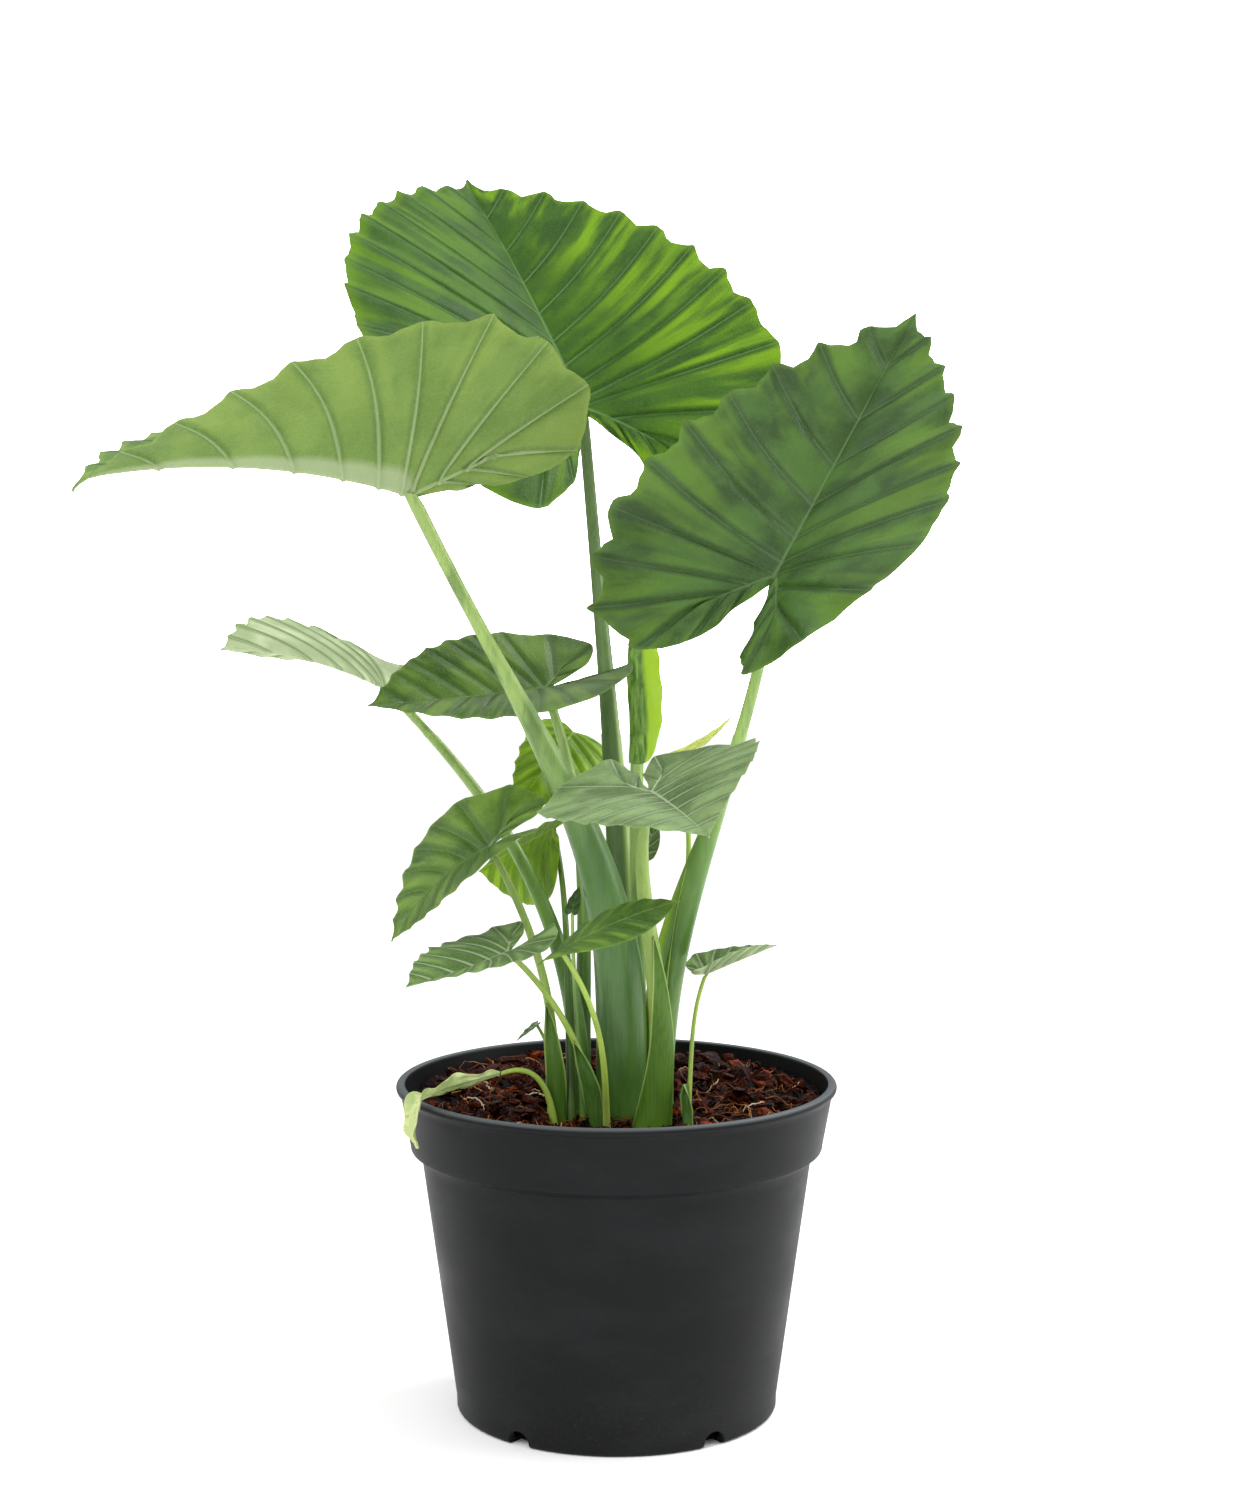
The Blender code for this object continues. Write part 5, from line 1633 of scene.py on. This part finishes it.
def grown_leaves() -> list[Leaf]:
    """Return every open leaf with its own sizes, from the tallest down."""
    return [
        Leaf("top",
             Stalk((3, -6), (8, 22, 349), (-9, 57, 515), (-24, 100, 686), (9.5, 8.5, 6.0, 4.6, 3.9),
                   wing=0.55, wing_angle=-20, wing_top=0.75),
             Blade(length=292, width=330, heading=114, pitch=43, roll=0, lobe=1.01, arch=9,
                   lobe_arch=23, fold=(24, 20), cup=(-14, -2), flare=(-1, 3), taper=(-0.08, -0.06),
                   spread=(-0.09, 0.08), twist=2, uneven=-0.09, lobe_uneven=0.08, wave=2.4,
                   scallop=3.2, puff=2.6, lobe_veins=3, veins=9, vein_sweep=1.7, seed=11,
                   columns=30, hook=5.0, sunlit=(0.35, 0.9)),
             FRESH, GREY_STALK),
        Leaf("left",
             Stalk((-2, -36), (22, -53, 387), (-36, -68, 423), (-130, -100, 622),
                   (16.5, 16.0, 10.5, 4.9, 4.5)),
             Blade(length=235, width=264, heading=217, pitch=14, roll=8, lobe=0.99, arch=25,
                   lobe_arch=8, fold=(54, 37), cup=(-12, -14), flare=(-28, -27), taper=(0.15, 0.04),
                   spread=(0.05, 0.18), twist=6, sweep=0.02, uneven=0.03, lobe_uneven=-0.04,
                   wave=1.4, scallop=2.6, puff=2.2, lobe_veins=3, veins=7, vein_sweep=1.8, seed=12,
                   columns=30, vein_depth=1.4, shaded_band=15.0, hook=-6.0),
             OLIVE, BROAD_STALK),
        Leaf("right",
             Stalk((32, -28), (16, -28, 329), (86, -55, 428), (103, -60, 570),
                   (8.6, 8.2, 6.6, 4.2, 3.4), wing=0.9, wing_angle=180, wing_top=0.6),
             Blade(length=230, width=242, heading=48, pitch=49, roll=4, lobe=1.05, arch=-3,
                   lobe_arch=-5, fold=(22, 19), cup=(-2, -12), flare=(-3, -22), taper=(0.01, 0.13),
                   spread=(-0.06, -0.16), twist=-4, sweep=0.02, uneven=-0.02, lobe_uneven=0.06,
                   wave=2.4, scallop=4.6, puff=2.6, lobe_veins=3, veins=7, vein_sweep=1.6, seed=13,
                   columns=30, finer_scallops=1.7),
             DARK, GREEN_STALK),
        Leaf("middle_left",
             Stalk((-20, -15), (-31, -8, 280), (-5, 8, 383), (-49, 20, 492),
                   (6.0, 5.5, 4.6, 3.8, 3.2)),
             Blade(length=128, width=136, heading=203, pitch=-6, roll=-13, lobe=1.07, arch=-5,
                   lobe_arch=-17, fold=(19, 18), cup=(-22, 1), flare=(-14, 9), taper=(-0.04, -0.04),
                   spread=(0.0, -0.05), twist=3, sweep=-0.02, uneven=0.01, lobe_uneven=-0.03,
                   wave=0.9, scallop=1.0, puff=1.4, seed=14, columns=20),
             GLOSSY, GREEN_STALK),
        Leaf("far_left",
             Stalk((-25, -46), (-16, -34, 306), (-51, 14, 387), (-163, 75, 489),
                   (7.0, 6.5, 5.0, 3.8, 3.0)),
             Blade(length=139, width=132, heading=158, pitch=23, roll=-6, lobe=0.93, arch=26,
                   lobe_arch=6, fold=(47, 13), cup=(-24, -16), flare=(-13, -20),
                   taper=(-0.12, -0.06), spread=(-0.06, -0.09), twist=-18, sweep=0.01, uneven=-0.03,
                   lobe_uneven=0.03, wave=1.0, scallop=1.5, puff=1.6, vein_sweep=2.4, seed=15,
                   columns=20, finer_scallops=2.4),
             STRIPED, GREEN_STALK),
        Leaf("centre",
             Stalk((16, -66), (50, -73, 295), (0, -103, 364), (22, -120, 435),
                   (15.5, 8.0, 6.2, 4.6, 3.4)),
             Blade(length=128, width=148, heading=-74, pitch=-5, roll=17, lobe=1.06, arch=2,
                   lobe_arch=-18, fold=(13, 16), cup=(-9, -15), flare=(18, 2), taper=(0.09, -0.02),
                   spread=(-0.28, -0.52), twist=2, sweep=0.03, uneven=0.02, lobe_uneven=0.12,
                   wave=1.2, scallop=1.2, puff=1.4, seed=16, columns=20),
             SOFT, PALE_STALK),
        Leaf("low_left",
             Stalk((-37, -60), (-43, -60, 247), (-31, -60, 299), (-83, -60, 393),
                   (5.0, 3.4, 2.9, 2.6, 2.3)),
             Blade(length=91, width=95, heading=186, pitch=-27, roll=-10, lobe=1.05, arch=34,
                   lobe_arch=15, fold=(12, 24), cup=(-6, 16), flare=(-17, -7), taper=(-0.01, 0.16),
                   spread=(0.0, -0.05), twist=2, sweep=-0.02, lobe_uneven=0.17, wave=0.8,
                   scallop=0.9, puff=1.2, veins=6, seed=17, columns=20),
             GLOSSY, PALE_STALK),
        Leaf("bottom_left",
             Stalk((-13, -66), (-9, -70, 235), (-28, -86, 289), (-70, -95, 329),
                   (3.5, 2.6, 2.2, 2.0, 1.8)),
             Blade(length=76, width=87, heading=215, pitch=-16, roll=0, lobe=0.96, arch=-8,
                   lobe_arch=-28, fold=(13, 21), cup=(-12, -28), flare=(-2, 14),
                   taper=(0.17, -0.08), spread=(-0.05, -0.17), twist=-3, sweep=0.04, uneven=0.02,
                   lobe_uneven=-0.05, wave=0.8, scallop=1.5, veins=6, puff=1.0, seed=18,
                   columns=16),
             STRIPED, LIME_STALK),
        Leaf("small_centre",
             Stalk((-4, -68), (-11, -79, 232), (2, -119, 280), (-35, -140, 337),
                   (3.0, 2.4, 2.0, 1.8, 1.6)),
             Blade(length=82, width=59, heading=12, pitch=29, roll=-27, lobe=0.48, arch=16,
                   lobe_arch=4, fold=(19, -14), cup=(-2, -15), flare=(30, -37), taper=(0.16, -0.1),
                   spread=(0.01, 0.0), twist=-17, sweep=-0.02, uneven=0.03, lobe_uneven=-0.03,
                   wave=0.3, scallop=0.3, puff=0.5, lobe_veins=1, veins=6, drop=0.4, seed=19,
                   columns=16),
             MEADOW, LIME_STALK),
        Leaf("small_right",
             Stalk((41, -78), (53, -76, 226), (43, -66, 272), (59, -60, 309),
                   (2.4, 1.7, 1.5, 1.4, 1.3)),
             Blade(length=51, width=46, heading=14, pitch=20, roll=-1, lobe=0.64, arch=0,
                   lobe_arch=-25, fold=(28, 24), cup=(-5, 5), flare=(2, 3), taper=(0.02, 0.1),
                   spread=(-0.04, 0.0), twist=14, sweep=0.03, lobe_uneven=0.1, wave=0.3,
                   scallop=0.3, puff=0.5, lobe_veins=1, veins=5, seed=20, columns=16),
             STRIPED, LIME_STALK),
        Leaf("behind_centre",
             Stalk((-12, 0), (-6, 45, 270), (-18, 86, 362), (-31, 90, 456),
                   (4.0, 3.4, 2.9, 2.5, 2.2)),
             Blade(length=86, width=76, heading=244, pitch=-26, roll=-22, lobe=0.63, arch=30,
                   lobe_arch=27, fold=(-23, -13), cup=(-8, -9), flare=(9, -13), taper=(0.13, 0.02),
                   spread=(0.2, 0.27), twist=-4, sweep=0.07, uneven=-0.13, lobe_uneven=0.03,
                   wave=1.0, scallop=1.2, lobe_veins=1, veins=6, drop=0.9, seed=21, columns=16),
             BACKLIT, GREEN_STALK),
        Leaf("behind_low_left",
             Stalk((-28.5, -57), (-33, -62, 280), (-30, -10, 350), (-44, 35, 394),
                   (3.5, 2.8, 2.4, 2.0, 1.8)),
             Blade(length=82, width=98, heading=137, pitch=-25, roll=-34, lobe=0.57, arch=2,
                   lobe_arch=4, fold=(-11, -11), cup=(-39, -17), flare=(-24, 9),
                   taper=(-0.01, 0.12), spread=(0.01, 0.0), twist=9, sweep=-0.02, uneven=-0.07,
                   lobe_uneven=0.15, wave=0.8, scallop=1.2, lobe_veins=1, veins=6, drop=0.5,
                   seed=22, columns=16),
             BACKLIT, DARK_STALK),
        Leaf("pale",
             Stalk((31, -8), (6, -2, 283), (77, 18, 354), (37, 30, 442), (2.5, 2.2, 2.0, 1.8, 1.4)),
             Blade(length=58, width=13, heading=8, pitch=20, roll=-40, lobe=0.4, arch=-35, wave=0.4,
                   scallop=0.2, puff=0.3, lobe_veins=1, veins=4, seed=23, columns=10,
                   rows=PLAIN_ROWS, rib_depth=1.2, vein_depth=0.3),
             PALE, LIME_STALK),
        Leaf("back_small",
             Stalk((14, 12), (13, 20, 245), (15, 40, 307), (20, 46, 375),
                   (2.5, 2.1, 1.8, 1.6, 1.3)),
             Blade(length=27, width=20, heading=60, pitch=50, lobe=0.6, wave=0.6, scallop=0.4,
                   puff=0.3, lobe_veins=1, veins=3, seed=24, columns=10, rows=PLAIN_ROWS,
                   rib_depth=1.2, vein_depth=0.3),
             SOFT, GREEN_STALK),
        Leaf("bud",
             Stalk((-22, -60), (-21, -60, 236), (-29, -60, 292), (-29, -60, 350),
                   (2.0, 1.7, 1.5, 1.4, 1.1)),
             Blade(length=18, width=11, heading=60, pitch=60, lobe=0.4, wave=0.3, scallop=0.2,
                   puff=0.2, lobe_veins=1, veins=3, seed=25, columns=10, rows=PLAIN_ROWS,
                   rib_depth=1.2, vein_depth=0.3),
             DARK, GREEN_STALK),
        Leaf("rim_small",
             Stalk((-47, -46), (-49, -46, 211), (-33, -45, 241), (-53, -45, 272),
                   (2.0, 1.7, 1.5, 1.3, 1.0)),
             Blade(length=17, width=10, heading=200, pitch=-35, lobe=0.4, wave=0.3, scallop=0.2,
                   puff=0.2, lobe_veins=1, veins=3, seed=26, columns=10, rows=PLAIN_ROWS,
                   rib_depth=1.2, vein_depth=0.3),
             SOFT, LIME_STALK),
    ]


def foot_sheaths(stalks: dict[str, Stalk]) -> list[Sheath]:
    """Return the wraps round the feet of the stalks, as the plant shows them from the front."""
    wraps = (
        ("centre_front", "centre", 0.08, 0.62, -70, 115, 0.9, GREEN_SHEATH),
        ("right_side", "right", 0.08, 0.5, 200, 100, 1.0, GREEN_SHEATH),
        ("low_left_foot", "low_left", 0.12, 0.5, -100, 120, 1.4, GREEN_SHEATH, 3.0),
        ("bottom_left_foot", "bottom_left", 0.18, 0.55, -90, 120, 1.6, DEEP_SHEATH, 3.0),
        ("small_right_foot", "small_right", 0.24, 0.45, -130, 100, 1.2, DEEP_SHEATH, 3.5),
    )
    return [Sheath(name, stalks[leaf], *sizes) for name, leaf, *sizes in wraps]


def dress_corm() -> None:
    """Give the hidden corm its brown, ringed skin."""
    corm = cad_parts["corm"]
    corm.data.materials.clear()
    corm.data.materials.append(CORM_SKIN.dress())


def main() -> None:
    """Build the studio and every piece of the plant in order."""
    logging.basicConfig(level=logging.INFO, format="%(name)s %(message)s")
    Studio().build()
    Pot().build()
    leaves = grown_leaves()
    furled = FurledLeaf(Stalk((19.5, -13), (16, -12, 262), (12, 2, 356), (14, 14, 441),
                              (6.0, 5.2, 4.8, 4.6, 4.4)))
    withered = WitheredLeaf(Stalk((-40, -70), (-38, -70, 240), (-54, -76, 254), (-75.2, -78.3, 246),
                                  (3.0, 2.6, 2.2, 1.8, 1.5)))
    stalks = [leaf.stalk for leaf in leaves] + [furled.stalk, withered.stalk]
    CoirFill().build(stalks)
    dress_corm()
    for leaf in leaves:
        leaf.build()
    furled.build()
    withered.build()
    for sheath in foot_sheaths({leaf.name: leaf.stalk for leaf in leaves}):
        sheath.build()


if __name__ == "__main__":
    main()
